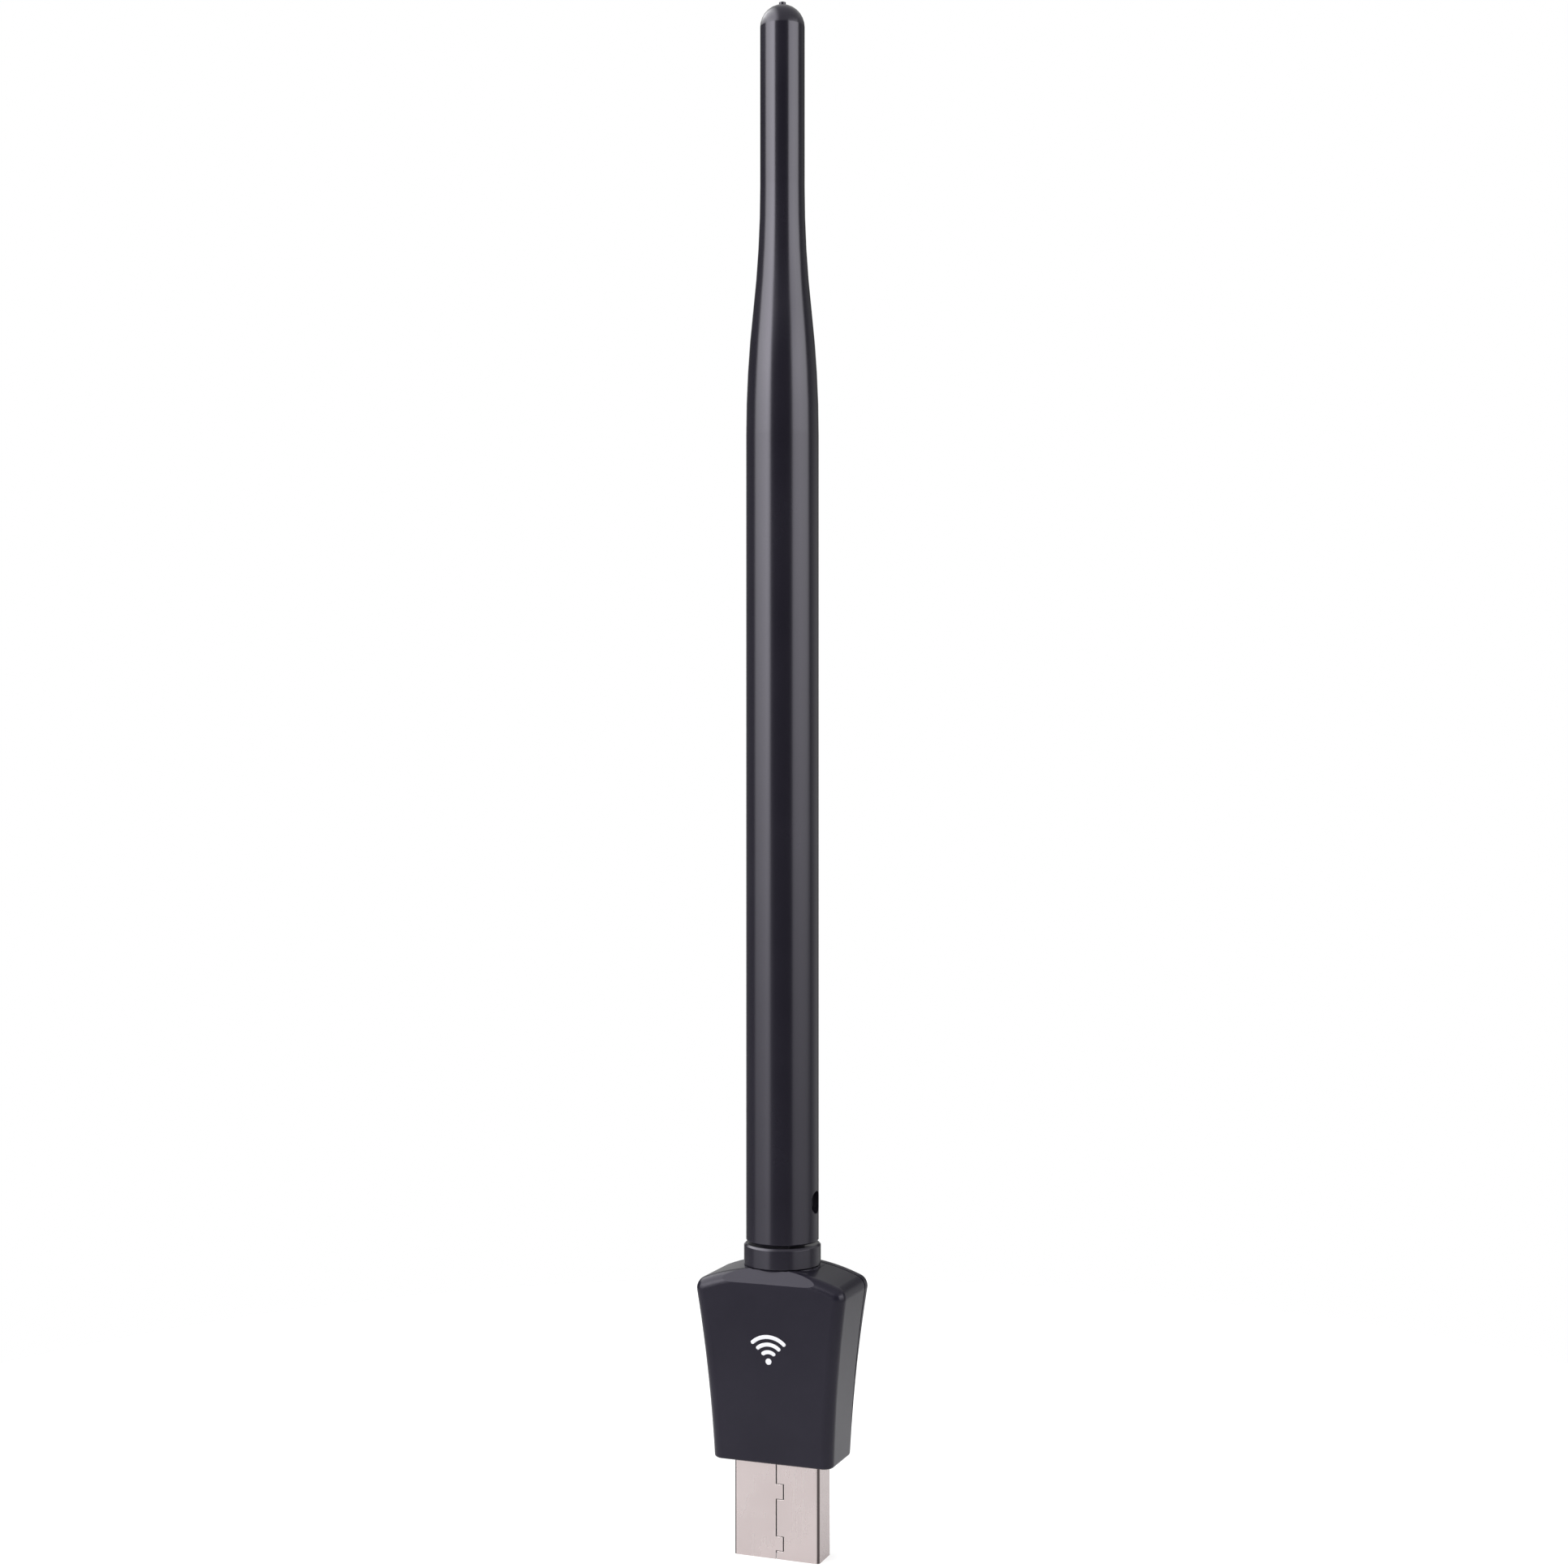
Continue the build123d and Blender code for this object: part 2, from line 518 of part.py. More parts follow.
def voltage_regulator():
    """A moulded body on five bent legs."""
    body = Pos(0, -LEG_SHEET, 0) * chip(**REGULATOR)
    z = height_on_board(REGULATOR["rise"])
    side_x = REGULATOR["width"] / 2
    knee = side_x + 2 * LEG_SHEET
    toe = knee + 2 * LEG_SHEET
    waist = LEG_SHEET + REGULATOR["height"] / 2
    for side, places in REGULATOR_LEGS:
        for place in places:
            span = (z + place - LEG_WIDTH / 2, z + place + LEG_WIDTH / 2)
            leg = block(sided(side, side_x - LEG_SHEET, knee), (-waist, LEG_SHEET - waist), span)
            leg += block(sided(side, knee - LEG_SHEET, knee), (-waist, 0), span)
            leg += block(sided(side, knee - LEG_SHEET, toe), (-LEG_SHEET, 0), span)
            body += Pos(REGULATOR["x"], 0, 0) * leg
    return body


def power_inductor():
    """A drum inductor: two square flanges and a round winding."""
    x = INDUCTOR["x"]
    z = height_on_board(INDUCTOR["rise"])
    wide = INDUCTOR_WIDTH
    drum = square_part(x, z, wide, wide, 0, INDUCTOR_FLANGE)
    drum += post(INDUCTOR_CORE, x, z, -INDUCTOR_HEIGHT + INDUCTOR_FLANGE / 2, -INDUCTOR_FLANGE / 2)
    return drum + square_part(x, z, wide, wide, INDUCTOR_HEIGHT - INDUCTOR_FLANGE, INDUCTOR_HEIGHT)


def crystal():
    """A ceramic tray with a welded metal lid."""
    tray = CRYSTAL_TRAY
    z = height_on_board(tray["rise"])
    lid = square_part(tray["x"], z, tray["width"] - 3 * CRYSTAL_LID, tray["length"] - 3 * CRYSTAL_LID,
                      tray["height"] - CRYSTAL_LID, tray["height"] + CRYSTAL_LID)
    return chip(**tray) + lid


def chip_row(places, height):
    """Small two-ended chips in one node, each a body between two raised end caps."""
    solids = []
    for x, rise in places:
        z = height_on_board(rise)
        body = square_part(x, z, CHIP_WIDTH, CHIP_LENGTH, 0, height - CAP_LIP)
        for end in (-1, 1):
            body += square_part(x, z + end * CHIP_LENGTH * 3 / 8, CHIP_WIDTH + 2 * CAP_LIP,
                                CHIP_LENGTH / 4, 0, height)
        solids.append(body.solid())
    return Compound(children=solids)


# ---------------------------------------------------------------- antenna cable

def cable_clamp():
    """A folded strip soldered over the cable's braid at the top of the board."""
    low = BOARD_TOP - CLAMP_TOP - CLAMP_LENGTH
    high = BOARD_TOP - CLAMP_TOP
    inside = CABLE_RADIUS + CABLE_BOARD_GAP
    clamp = block((-CLAMP_HALF_WIDTH, CLAMP_HALF_WIDTH), (-CLAMP_SHEET, 0), (low, high))
    clamp += upright(inside + CLAMP_SHEET, low, high, y=-CABLE_RISE)
    clamp -= block((-CLAMP_HALF_WIDTH, CLAMP_HALF_WIDTH), (0, CLAMP_HALF_WIDTH), (low - 1, high + 1))
    clamp -= upright(inside, low - 1, high + 1, y=-CABLE_RISE)
    return clamp - block((-inside, inside), (-CABLE_RISE, 1), (low - 1, high + 1))


def cable_in_casing():
    """From its solder pads on the board to the swivel's axis."""
    rise = CABLE_SPLIT_Z - BOARD_TOP
    points = [(0, -CABLE_RISE, BOARD_TOP - CABLE_ON_BOARD), (0, -CABLE_RISE, BOARD_TOP + rise / 5),
              (0, 0, CABLE_SPLIT_Z - 2 * rise / 5), (0, 0, CABLE_SPLIT_Z)]
    bends = []
    for before, corner, after in zip(points, points[1:], points[2:]):
        run_in = Vector(*corner) - Vector(*before)
        run_out = Vector(*after) - Vector(*corner)
        turn = math.radians(run_in.get_angle(run_out))
        bends.append(0.45 * min(run_in.length, run_out.length) / math.tan(turn / 2))
    print("cable bend radii", [round(bend, 2) for bend in bends])
    path = FilletPolyline(*points, radius=bends)
    return sweep(Plane(origin=points[0], z_dir=(0, 0, 1)) * Circle(CABLE_RADIUS), path=path)


# ---------------------------------------------------------------- swivel

def swivel_base():
    collar = upright(COLLAR_RADIUS, COLLAR_BOTTOM, COLLAR_TOP)
    collar = chamfer(collar.faces().sort_by(Axis.Z)[-1].edges(), COLLAR_CHAMFER)
    base = collar + upright(NECK_RADIUS, FLANGE_BOTTOM, COLLAR_BOTTOM)
    base += upright(FLANGE_RADIUS, FLANGE_BOTTOM, FLANGE_TOP)
    base += stop_lug()
    half = TONGUE_THICKNESS / 2
    radius = TONGUE_RADIUS
    base += block((-half, half), (-radius, radius), (COLLAR_BOTTOM, HINGE_Z))
    base += across(radius, -half, half, HINGE_Z)
    base -= upright(CABLE_CHANNEL, STOP_BOTTOM - 1, HINGE_Z)
    slot = (-CABLE_CHANNEL, CABLE_CHANNEL)
    base -= block(slot, (-CABLE_CHANNEL, 2 * radius), (COLLAR_TOP + 1, HINGE_Z + 2 * radius))
    return base - across(PIN_RADIUS + RUNNING_GAP, -2 * half, 2 * half, HINGE_Z)


def stop_lug():
    """The lug under the flange that meets the casing's stop rib at either end of the swivel."""
    ring = upright(STOP_OUTER, STOP_BOTTOM, FLANGE_BOTTOM) - upright(STOP_INNER, STOP_BOTTOM - 1, FLANGE_TOP)
    half = math.radians(STOP_LUG_HALF_TURN)
    far = 2 * STOP_OUTER
    corner = (far * math.sin(half), -far * math.cos(half))
    wedge = make_face(Polyline((0, 0), corner, (-corner[0], corner[1]), close=True))
    return ring & (Pos(0, 0, STOP_BOTTOM) * extrude(wedge, amount=STOP_HEIGHT))


# ---------------------------------------------------------------- antenna

def tube_profile():
    """Half of the antenna's outer outline: foot, straight tube, S-shaped neck, thin tube and dome."""
    foot = ANTENNA_FOOT
    middle = ((ANTENNA_RADIUS + ANTENNA_TOP_RADIUS) / 2, (NECK_START + THIN_START) / 2)
    dome = ANTENNA_TIP - ANTENNA_TOP_RADIUS
    reach = ANTENNA_TOP_RADIUS * math.sqrt(0.5)
    lines = Polyline((0, ANTENNA_TIP), (0, foot), (ANTENNA_RADIUS - FOOT_ROUND, foot),
                     (ANTENNA_RADIUS, foot + FOOT_ROUND), (ANTENNA_RADIUS, NECK_START))
    lines += TangentArc((ANTENNA_RADIUS, NECK_START), middle, tangent=(0, 1))
    lines += TangentArc((ANTENNA_TOP_RADIUS, THIN_START), middle, tangent=(0, -1))
    lines += Line((ANTENNA_TOP_RADIUS, THIN_START), (ANTENNA_TOP_RADIUS, dome))
    lines += ThreePointArc((ANTENNA_TOP_RADIUS, dome), (reach, dome + reach), (0, ANTENNA_TIP))
    return make_face(lines)


def bore_profile():
    """Half of the antenna's bore: wide, then narrowing along the neck to a thin one."""
    low = ANTENNA_FOOT + FOOT_SOLID
    high = ANTENNA_TIP - TIP_WALL
    points = [(0, low), (BORE_RADIUS, low), (BORE_RADIUS, NECK_START - BORE_LEAD),
              (BORE_TOP_RADIUS, THIN_START - BORE_LEAD), (BORE_TOP_RADIUS, high), (0, high)]
    return make_face(Polyline(*points, close=True))


def antenna_sleeve():
    tube = revolve(Plane.XZ * tube_profile(), Axis.Z)
    tube += upright(NUB_RADIUS, ANTENNA_TIP - NUB_RADIUS, ANTENNA_TIP + NUB_HEIGHT)
    tube -= revolve(Plane.XZ * bore_profile(), Axis.Z)
    tube -= hinge_slot()
    tube -= upright(CABLE_CHANNEL, HINGE_Z, ANTENNA_FOOT + FOOT_SOLID + 1)
    tube -= across(PIN_RADIUS + PRESS_GAP, -ANTENNA_RADIUS, ANTENNA_RADIUS, HINGE_Z)
    for side in (-1, 1):
        x = sided(side, SIDE_HOLE_FLOOR, 2 * ANTENNA_RADIUS)
        tube -= across(SIDE_HOLE_RADIUS, x[0], x[1], HINGE_Z)
    swing = block((-ANTENNA_RADIUS, ANTENNA_RADIUS), (0, 2 * ANTENNA_RADIUS), (0, HINGE_Z))
    swing -= across(HINGE_Z - ANTENNA_FOOT, -2 * ANTENNA_RADIUS, 2 * ANTENNA_RADIUS, HINGE_Z)
    return tube - swing


def hinge_slot():
    """The space of the swivel's tongue, swept from straight down to straight back."""
    half = TONGUE_THICKNESS / 2 + TONGUE_SIDE_GAP
    round_gap = TONGUE_RADIUS + TONGUE_ROUND_GAP
    far = 2 * ANTENNA_RADIUS
    slot = across(round_gap, -half, half, HINGE_Z)
    slot += block((-half, half), (-round_gap, far), (0, HINGE_Z))
    return slot + block((-half, half), (0, far), (HINGE_Z - 1, HINGE_Z + round_gap))


def hinge_pin(side):
    """A stub pin: pressed in the antenna's ear, running in the tongue's cheek."""
    x = sided(side, CABLE_CHANNEL + PART_GAP, PIN_END_X)
    pin = across(PIN_RADIUS, x[0], x[1], HINGE_Z)
    return chamfer(pin.edges().filter_by(GeomType.CIRCLE), PIN_RADIUS / 6)


# ---------------------------------------------------------------- radiator

def radiator_sleeve():
    """The lower arm: a brass tube closed at the top round the ferrule."""
    tube = upright(SLEEVE_RADIUS, SLEEVE_LOW, SLEEVE_TOP)
    tube -= upright(SLEEVE_RADIUS - SLEEVE_SHEET, SLEEVE_LOW - 1, SLEEVE_TOP - SLEEVE_SHEET)
    return tube - upright(FERRULE_RADIUS + PRESS_GAP, SLEEVE_LOW, SLEEVE_TOP + 1)


def cable_ferrule():
    """The crimp between the cable and the sleeve, which also takes the rod's foot."""
    piece = upright(FERRULE_RADIUS, FERRULE_BOTTOM, FERRULE_TOP)
    piece = chamfer(piece.edges().filter_by(GeomType.CIRCLE), FERRULE_RADIUS / 6)
    piece -= upright(CABLE_RADIUS + PRESS_GAP, FERRULE_BOTTOM - 1, CABLE_END)
    return piece - upright(ROD_RADIUS + PRESS_GAP, ROD_LOW, FERRULE_TOP + 1)


def radiator_coil():
    """The phasing coil, its ends turned in to the axis."""
    height = COIL_PITCH * COIL_TURNS
    helix = Helix(pitch=COIL_PITCH, height=height, radius=COIL_RADIUS)
    start = Plane(origin=helix @ 0, z_dir=helix % 0)
    coil = Pos(0, 0, COIL_LOW) * sweep(start * Circle(COIL_WIRE), path=helix, is_frenet=True)
    high = COIL_LOW + height
    for z, stub in ((COIL_LOW, (ROD_TOP, COIL_LOW + ROD_RADIUS)), (high, (high - ROD_RADIUS, TIP_WIRE_LOW))):
        tail = across(COIL_WIRE, 0, COIL_RADIUS, z) + upright(ROD_RADIUS, stub[0], stub[1])
        tail += Pos(COIL_RADIUS, 0, z) * Sphere(COIL_WIRE * COIL_ELBOW)
        coil += tail
    return coil


def radiator_spacer():
    """A plastic bobbin that keeps the rod in the middle of the tube."""
    low = ROD_LOW + SPACER_RISE
    high = low + SPACER_LENGTH
    piece = upright(BORE_RADIUS - PART_GAP, low, high)
    piece = chamfer(piece.edges().filter_by(GeomType.CIRCLE), SPACER_LENGTH / 8)
    waist = upright(BORE_RADIUS, low + SPACER_LENGTH / 4, high - SPACER_LENGTH / 4)
    piece -= waist - upright(BORE_RADIUS / 2, low, high)
    return piece - upright(ROD_RADIUS + PRESS_GAP, low - 1, high + 1)


# ---------------------------------------------------------------- all pieces

def all_nodes():
    shell = casing_shell()
    nodes = {
        "front_cover": front_cover(shell),
        "rear_cover": rear_cover(shell),
        "usb_shell": usb_shell(),
        "usb_insulator": usb_insulator(),
        "circuit_board": circuit_board(),
        "wifi_chip": chip(**WIFI_CHIP),
        "rf_amplifier": chip(**RF_AMPLIFIER),
        "antenna_filter": chip(**ANTENNA_FILTER),
        "crystal": crystal(),
        "voltage_regulator": voltage_regulator(),
        "power_inductor": power_inductor(),
        "chip_capacitors": chip_row(CAPACITOR_PLACES, CAPACITOR_HEIGHT),
        "chip_resistors": chip_row(RESISTOR_PLACES, RESISTOR_HEIGHT),
        "cable_clamp": cable_clamp(),
        "cable_in_casing": cable_in_casing(),
        "swivel_base": swivel_base(),
        "cable_through_hinge": upright(CABLE_RADIUS, CABLE_SPLIT_Z, CABLE_TAIL_Z),
        "antenna_sleeve": antenna_sleeve(),
        "hinge_pin_left": hinge_pin(-1),
        "hinge_pin_right": hinge_pin(1),
        "cable_in_antenna": upright(CABLE_RADIUS, CABLE_TAIL_Z, CABLE_END),
        "cable_ferrule": cable_ferrule(),
        "radiator_sleeve": radiator_sleeve(),
        "radiator_rod": upright(ROD_RADIUS, ROD_LOW, ROD_TOP),
        "radiator_coil": radiator_coil(),
        "radiator_tip_wire": upright(ROD_RADIUS, TIP_WIRE_LOW, TIP_WIRE_LOW + TIP_WIRE_LENGTH),
        "radiator_spacer": radiator_spacer(),
    }
    for number, (x, start) in enumerate(CONTACT_PLACES, 1):
        nodes[f"usb_contact_{number}"] = usb_contact(x, start)
    return nodes


os.makedirs("parts", exist_ok=True)
for name, piece in all_nodes().items():
    export_step(piece, f"parts/{name}.step")
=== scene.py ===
# %% [markdown]
# # A USB wifi adapter with a folding antenna
# The CAD frame holds every hard piece at its real size. This lesson adds the finishes, the printed
# symbol, the bending cable and the studio round it. Everything is in metres.

# %% Load the frame
import math

import bpy
import numpy as np
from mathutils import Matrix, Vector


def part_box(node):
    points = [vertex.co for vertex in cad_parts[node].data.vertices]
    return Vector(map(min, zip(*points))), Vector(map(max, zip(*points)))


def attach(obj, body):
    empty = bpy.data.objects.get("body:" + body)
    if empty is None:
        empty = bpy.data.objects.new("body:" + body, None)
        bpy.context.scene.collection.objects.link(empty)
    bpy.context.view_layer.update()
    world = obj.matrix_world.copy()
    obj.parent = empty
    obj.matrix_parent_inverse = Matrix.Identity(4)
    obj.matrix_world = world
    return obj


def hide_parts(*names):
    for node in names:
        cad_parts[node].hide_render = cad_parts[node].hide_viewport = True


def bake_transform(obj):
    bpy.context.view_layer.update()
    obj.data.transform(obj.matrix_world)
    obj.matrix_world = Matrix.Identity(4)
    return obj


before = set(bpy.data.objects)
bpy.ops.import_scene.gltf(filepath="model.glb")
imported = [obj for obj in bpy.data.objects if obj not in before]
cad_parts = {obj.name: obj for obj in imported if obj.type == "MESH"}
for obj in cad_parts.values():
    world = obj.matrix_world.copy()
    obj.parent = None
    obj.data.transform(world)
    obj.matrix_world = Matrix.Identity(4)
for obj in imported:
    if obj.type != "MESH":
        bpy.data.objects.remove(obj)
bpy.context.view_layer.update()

MM = 0.001

# %% [markdown]
# ## Reading places from the frame
# Every place below comes from the box of a CAD node, so the new pieces follow the model.

# %% Places that the later cells need
plug_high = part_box("usb_shell")[1]
cover_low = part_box("front_cover")[0]
cable_low, cable_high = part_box("cable_through_hinge")

# %% [markdown]
# ## Helpers for node materials
# A moulded or plated finish is one Principled shader. What makes it real is small: a colour that
# drifts a little, a roughness that is never quite even, a fine grain in the bump, and edges where
# handling has polished the surface. The helpers below build each of these once.

# %% Node helpers
BEVEL_SAMPLES = 6


def start_material(name):
    """A new material and its Principled shader."""
    made = bpy.data.materials.new(name)
    made.use_nodes = True
    tree = made.node_tree
    return made, tree, tree.nodes["Principled BSDF"]


def place(tree, scale=(1, 1, 1)):
    """Object coordinates, stretched by a Mapping node."""
    coords = tree.nodes.new("ShaderNodeTexCoord")
    mapping = tree.nodes.new("ShaderNodeMapping")
    mapping.inputs["Scale"].default_value = scale
    tree.links.new(coords.outputs["Object"], mapping.inputs["Vector"])
    return mapping.outputs["Vector"]


def noise(tree, vector, per_metre, detail=3.0, rough=0.55):
    """Noise with this many cells in a metre."""
    node = tree.nodes.new("ShaderNodeTexNoise")
    node.inputs["Scale"].default_value = per_metre
    node.inputs["Detail"].default_value = detail
    node.inputs["Roughness"].default_value = rough
    tree.links.new(vector, node.inputs["Vector"])
    return node.outputs["Fac"]


def spread(tree, value, low, high, from_low=0.3, from_high=0.7):
    """A value stretched from one range to another, held at the ends."""
    node = tree.nodes.new("ShaderNodeMapRange")
    node.inputs["From Min"].default_value = from_low
    node.inputs["From Max"].default_value = from_high
    node.inputs["To Min"].default_value = low
    node.inputs["To Max"].default_value = high
    tree.links.new(value, node.inputs["Value"])
    return node.outputs["Result"]


def mixed(tree, share, colour_a, colour_b):
    """Colour a where share is 0 and colour b where it is 1. Either may be a socket."""
    node = tree.nodes.new("ShaderNodeMix")
    node.data_type = "RGBA"
    for slot_name, colour in (("A", colour_a), ("B", colour_b)):
        socket = [spot for spot in node.inputs if spot.name == slot_name and spot.type == "RGBA"][0]
        if isinstance(colour, bpy.types.NodeSocket):
            tree.links.new(colour, socket)
        else:
            socket.default_value = (*colour, 1.0)
    tree.links.new(share, node.inputs["Factor"])
    return [spot for spot in node.outputs if spot.type == "RGBA"][0]


def worked(tree, kind, a, b):
    """One Math node on two sockets or numbers."""
    node = tree.nodes.new("ShaderNodeMath")
    node.operation = kind
    for index, value in enumerate((a, b)):
        if isinstance(value, bpy.types.NodeSocket):
            tree.links.new(value, node.inputs[index])
        else:
            node.inputs[index].default_value = value
    return node.outputs[0]


def rounded_normal(tree, radius):
    """The surface's direction, with sharp edges rounded to a small radius."""
    node = tree.nodes.new("ShaderNodeBevel")
    node.samples = BEVEL_SAMPLES
    node.inputs["Radius"].default_value = radius
    return node.outputs["Normal"]


def edge_mask(tree, radius, low, high):
    """1 on sharp edges and 0 on flat ground: how far the rounded direction leaves the true one."""
    geometry = tree.nodes.new("ShaderNodeNewGeometry")
    dot = tree.nodes.new("ShaderNodeVectorMath")
    dot.operation = "DOT_PRODUCT"
    tree.links.new(rounded_normal(tree, radius), dot.inputs[0])
    tree.links.new(geometry.outputs["Normal"], dot.inputs[1])
    return spread(tree, worked(tree, "SUBTRACT", 1.0, dot.outputs["Value"]), 0.0, 1.0, low, high)


def bump(tree, height, strength, distance, normal):
    """Height turned into a small tilt of the surface, on top of a given direction."""
    node = tree.nodes.new("ShaderNodeBump")
    node.inputs["Strength"].default_value = strength
    node.inputs["Distance"].default_value = distance
    tree.links.new(height, node.inputs["Height"])
    tree.links.new(normal, node.inputs["Normal"])
    return node.outputs["Normal"]


print("helpers for nodes, edges rounded with", BEVEL_SAMPLES, "samples")


# %% [markdown]
# ## Moulded black plastic
# The casing and the antenna are ABS, moulded against polished steel, so they are satin rather than
# dull. Under a lens the surface has a very fine grain, faint flow streaks along the filling
# direction, dust-sized dimples and polished edges. The grain is about a tenth of a millimetre wide.

# %% Black plastic
PATCHES_PER_METRE = 90.0
STREAKS_PER_METRE = 420.0
PIT_SPACING = 4.0
PIT_DEPTH = 0.7
GRAIN_STRENGTH = 0.12
GRAIN_HEIGHT = 0.01 * MM
WORN_FROM, WORN_TO = 0.01, 0.16
WORN_SHARE = 0.35
WORN_LIGHTER = 3.0
WORN_SMOOTHER = 0.06
STREAK_SMOOTHER, STREAK_ROUGHER = 0.012, 0.018
COOL_SHINE = (0.92, 0.89, 1.0, 1.0)


def black_plastic(name, base, tint, rough, specular, grain_mm, flow, edge_mm):
    """Satin ABS: base and a lighter tint in patches, flow streaks along Z, grain and worn edges.

    The grain's cells are grain_mm wide, and the pits lie PIT_SPACING times as far apart.
    """
    made, tree, shader = start_material(name)
    level = place(tree)
    grain_per_metre = 1.0 / (grain_mm * MM)
    patches = noise(tree, level, PATCHES_PER_METRE, detail=4.0)
    streaks = noise(tree, place(tree, (1.0, 1.0, flow)), STREAKS_PER_METRE, detail=4.0)
    grain = noise(tree, level, grain_per_metre, detail=2.0, rough=0.6)
    pits = noise(tree, level, grain_per_metre / PIT_SPACING, detail=1.0)
    edge = edge_mask(tree, edge_mm * MM, WORN_FROM, WORN_TO)
    worn = tuple(WORN_LIGHTER * channel for channel in tint)
    colour = mixed(tree, spread(tree, patches, 0.0, 1.0), base, tint)
    colour = mixed(tree, worked(tree, "MULTIPLY", edge, WORN_SHARE), colour, worn)
    tree.links.new(colour, shader.inputs["Base Color"])
    uneven = spread(tree, streaks, rough - STREAK_SMOOTHER, rough + STREAK_ROUGHER)
    uneven = worked(tree, "SUBTRACT", uneven, worked(tree, "MULTIPLY", edge, WORN_SMOOTHER))
    tree.links.new(uneven, shader.inputs["Roughness"])
    height = worked(tree, "ADD", grain, worked(tree, "MULTIPLY", pits, PIT_DEPTH))
    normal = bump(tree, height, GRAIN_STRENGTH, GRAIN_HEIGHT, rounded_normal(tree, edge_mm * MM))
    tree.links.new(normal, shader.inputs["Normal"])
    shader.inputs["Specular IOR Level"].default_value = specular
    shader.inputs["Specular Tint"].default_value = COOL_SHINE
    return made


casing_black = black_plastic("casing_black", (0.0085, 0.0076, 0.013), (0.012, 0.0108, 0.0175),
                             rough=0.23, specular=0.25, grain_mm=0.12, flow=0.3, edge_mm=0.12)
antenna_black = black_plastic("antenna_black", (0.0095, 0.0086, 0.0135), (0.0125, 0.0114, 0.017),
                              rough=0.19, specular=0.5, grain_mm=0.12, flow=0.05, edge_mm=0.09)
print("black plastics", casing_black.name, antenna_black.name)

# %% [markdown]
# ## Plated plug shell
# The shell is steel strip, folded and nickel plated. Rolling leaves fine lines along the strip, the
# plating rounds them off, and sockets leave thin rub marks along the insertion direction.

# %% Nickel plate and the other metals
CLOUDS_PER_METRE = 160.0
ROLLED_STRETCH = (1.0, 1.0, 0.02)
RUB_SPACING = 6.0
RUB_DEPTH = 0.02
RUB_FROM, RUB_TO = 0.5, 0.8
CLOUD_DEPTH = 0.02
BRIGHT_FROM, BRIGHT_TO = 0.01, 0.2
BRIGHT_SHARE = 0.5
BRIGHT_METAL = (0.93, 0.9, 0.88)
LINE_STRENGTH = 0.03
LINE_HEIGHT = 0.003 * MM
FOLD_RADIUS = 0.5 * MM
FOLD_FROM, FOLD_TO = 0.14 * MM, 0.24 * MM
# Painted shade on the shell's folds: how far it reaches, how strong it is and its colour.
FOLD_SHADE_SHARE = 0.94
FOLD_PAINTED_SHADE = (0.05, 0.04, 0.04)


def plated_metal(name, base, tint, rough, lines_per_metre, edge_mm=0.05, fold=None):
    """Metal with rolling lines along Z, cloudy roughness and bright edges.

    Where fold is given as the half sizes of a folded shell, a painted shade darkens the plating nearly
    to black along the middle of each fold. It lies where both half sizes, less the fold's radius, are
    passed.
    """
    made, tree, shader = start_material(name)
    level = place(tree)
    rolled = place(tree, ROLLED_STRETCH)
    clouds = noise(tree, level, CLOUDS_PER_METRE, detail=4.0)
    lines = noise(tree, rolled, lines_per_metre, detail=3.0, rough=0.7)
    rubs = noise(tree, rolled, lines_per_metre / RUB_SPACING, detail=2.0, rough=0.5)
    edge = edge_mask(tree, edge_mm * MM, BRIGHT_FROM, BRIGHT_TO)
    colour = mixed(tree, spread(tree, clouds, 0.0, 1.0), base, tint)
    colour = mixed(tree, worked(tree, "MULTIPLY", edge, BRIGHT_SHARE), colour, BRIGHT_METAL)
    if fold is not None:
        axes = tree.nodes.new("ShaderNodeSeparateXYZ")
        tree.links.new(level, axes.inputs["Vector"])
        past = []
        for axis, half in zip("XY", fold):
            reach = worked(tree, "ABSOLUTE", axes.outputs[axis], 0.0)
            past.append(worked(tree, "SUBTRACT", reach, half - FOLD_RADIUS))
        # Painted shade: the middle of each fold is darkened nearly to black.
        painted_fold_shade = spread(tree, worked(tree, "MINIMUM", *past), 0.0, FOLD_SHADE_SHARE, FOLD_FROM, FOLD_TO)
        colour = mixed(tree, painted_fold_shade, colour, FOLD_PAINTED_SHADE)
    tree.links.new(colour, shader.inputs["Base Color"])
    cloudy = spread(tree, clouds, rough - CLOUD_DEPTH, rough + CLOUD_DEPTH)
    rubbed = spread(tree, rubs, 0.0, RUB_DEPTH, RUB_FROM, RUB_TO)
    tree.links.new(worked(tree, "ADD", cloudy, rubbed), shader.inputs["Roughness"])
    normal = bump(tree, lines, LINE_STRENGTH, LINE_HEIGHT, rounded_normal(tree, edge_mm * MM))
    tree.links.new(normal, shader.inputs["Normal"])
    shader.inputs["Metallic"].default_value = 1.0
    return made


plug_nickel = plated_metal("plug_nickel", (0.545, 0.475, 0.47), (0.575, 0.505, 0.50),
                           rough=0.27, lines_per_metre=9000.0, fold=(plug_high.x, plug_high.y))
contact_gold = plated_metal("contact_gold", (0.83, 0.58, 0.2), (0.9, 0.68, 0.3),
                            rough=0.22, lines_per_metre=12000.0, edge_mm=0.03)
pin_steel = plated_metal("pin_steel", (0.36, 0.35, 0.35), (0.46, 0.45, 0.45),
                         rough=0.3, lines_per_metre=12000.0)
tinned = plated_metal("tinned_metal", (0.66, 0.66, 0.67), (0.76, 0.76, 0.76),
                      rough=0.34, lines_per_metre=9000.0, edge_mm=0.03)
brass = plated_metal("drawn_brass", (0.71, 0.49, 0.17), (0.8, 0.58, 0.25),
                     rough=0.28, lines_per_metre=8000.0)
copper = plated_metal("enamelled_copper", (0.66, 0.27, 0.12), (0.78, 0.36, 0.18),
                      rough=0.22, lines_per_metre=9000.0, edge_mm=0.03)
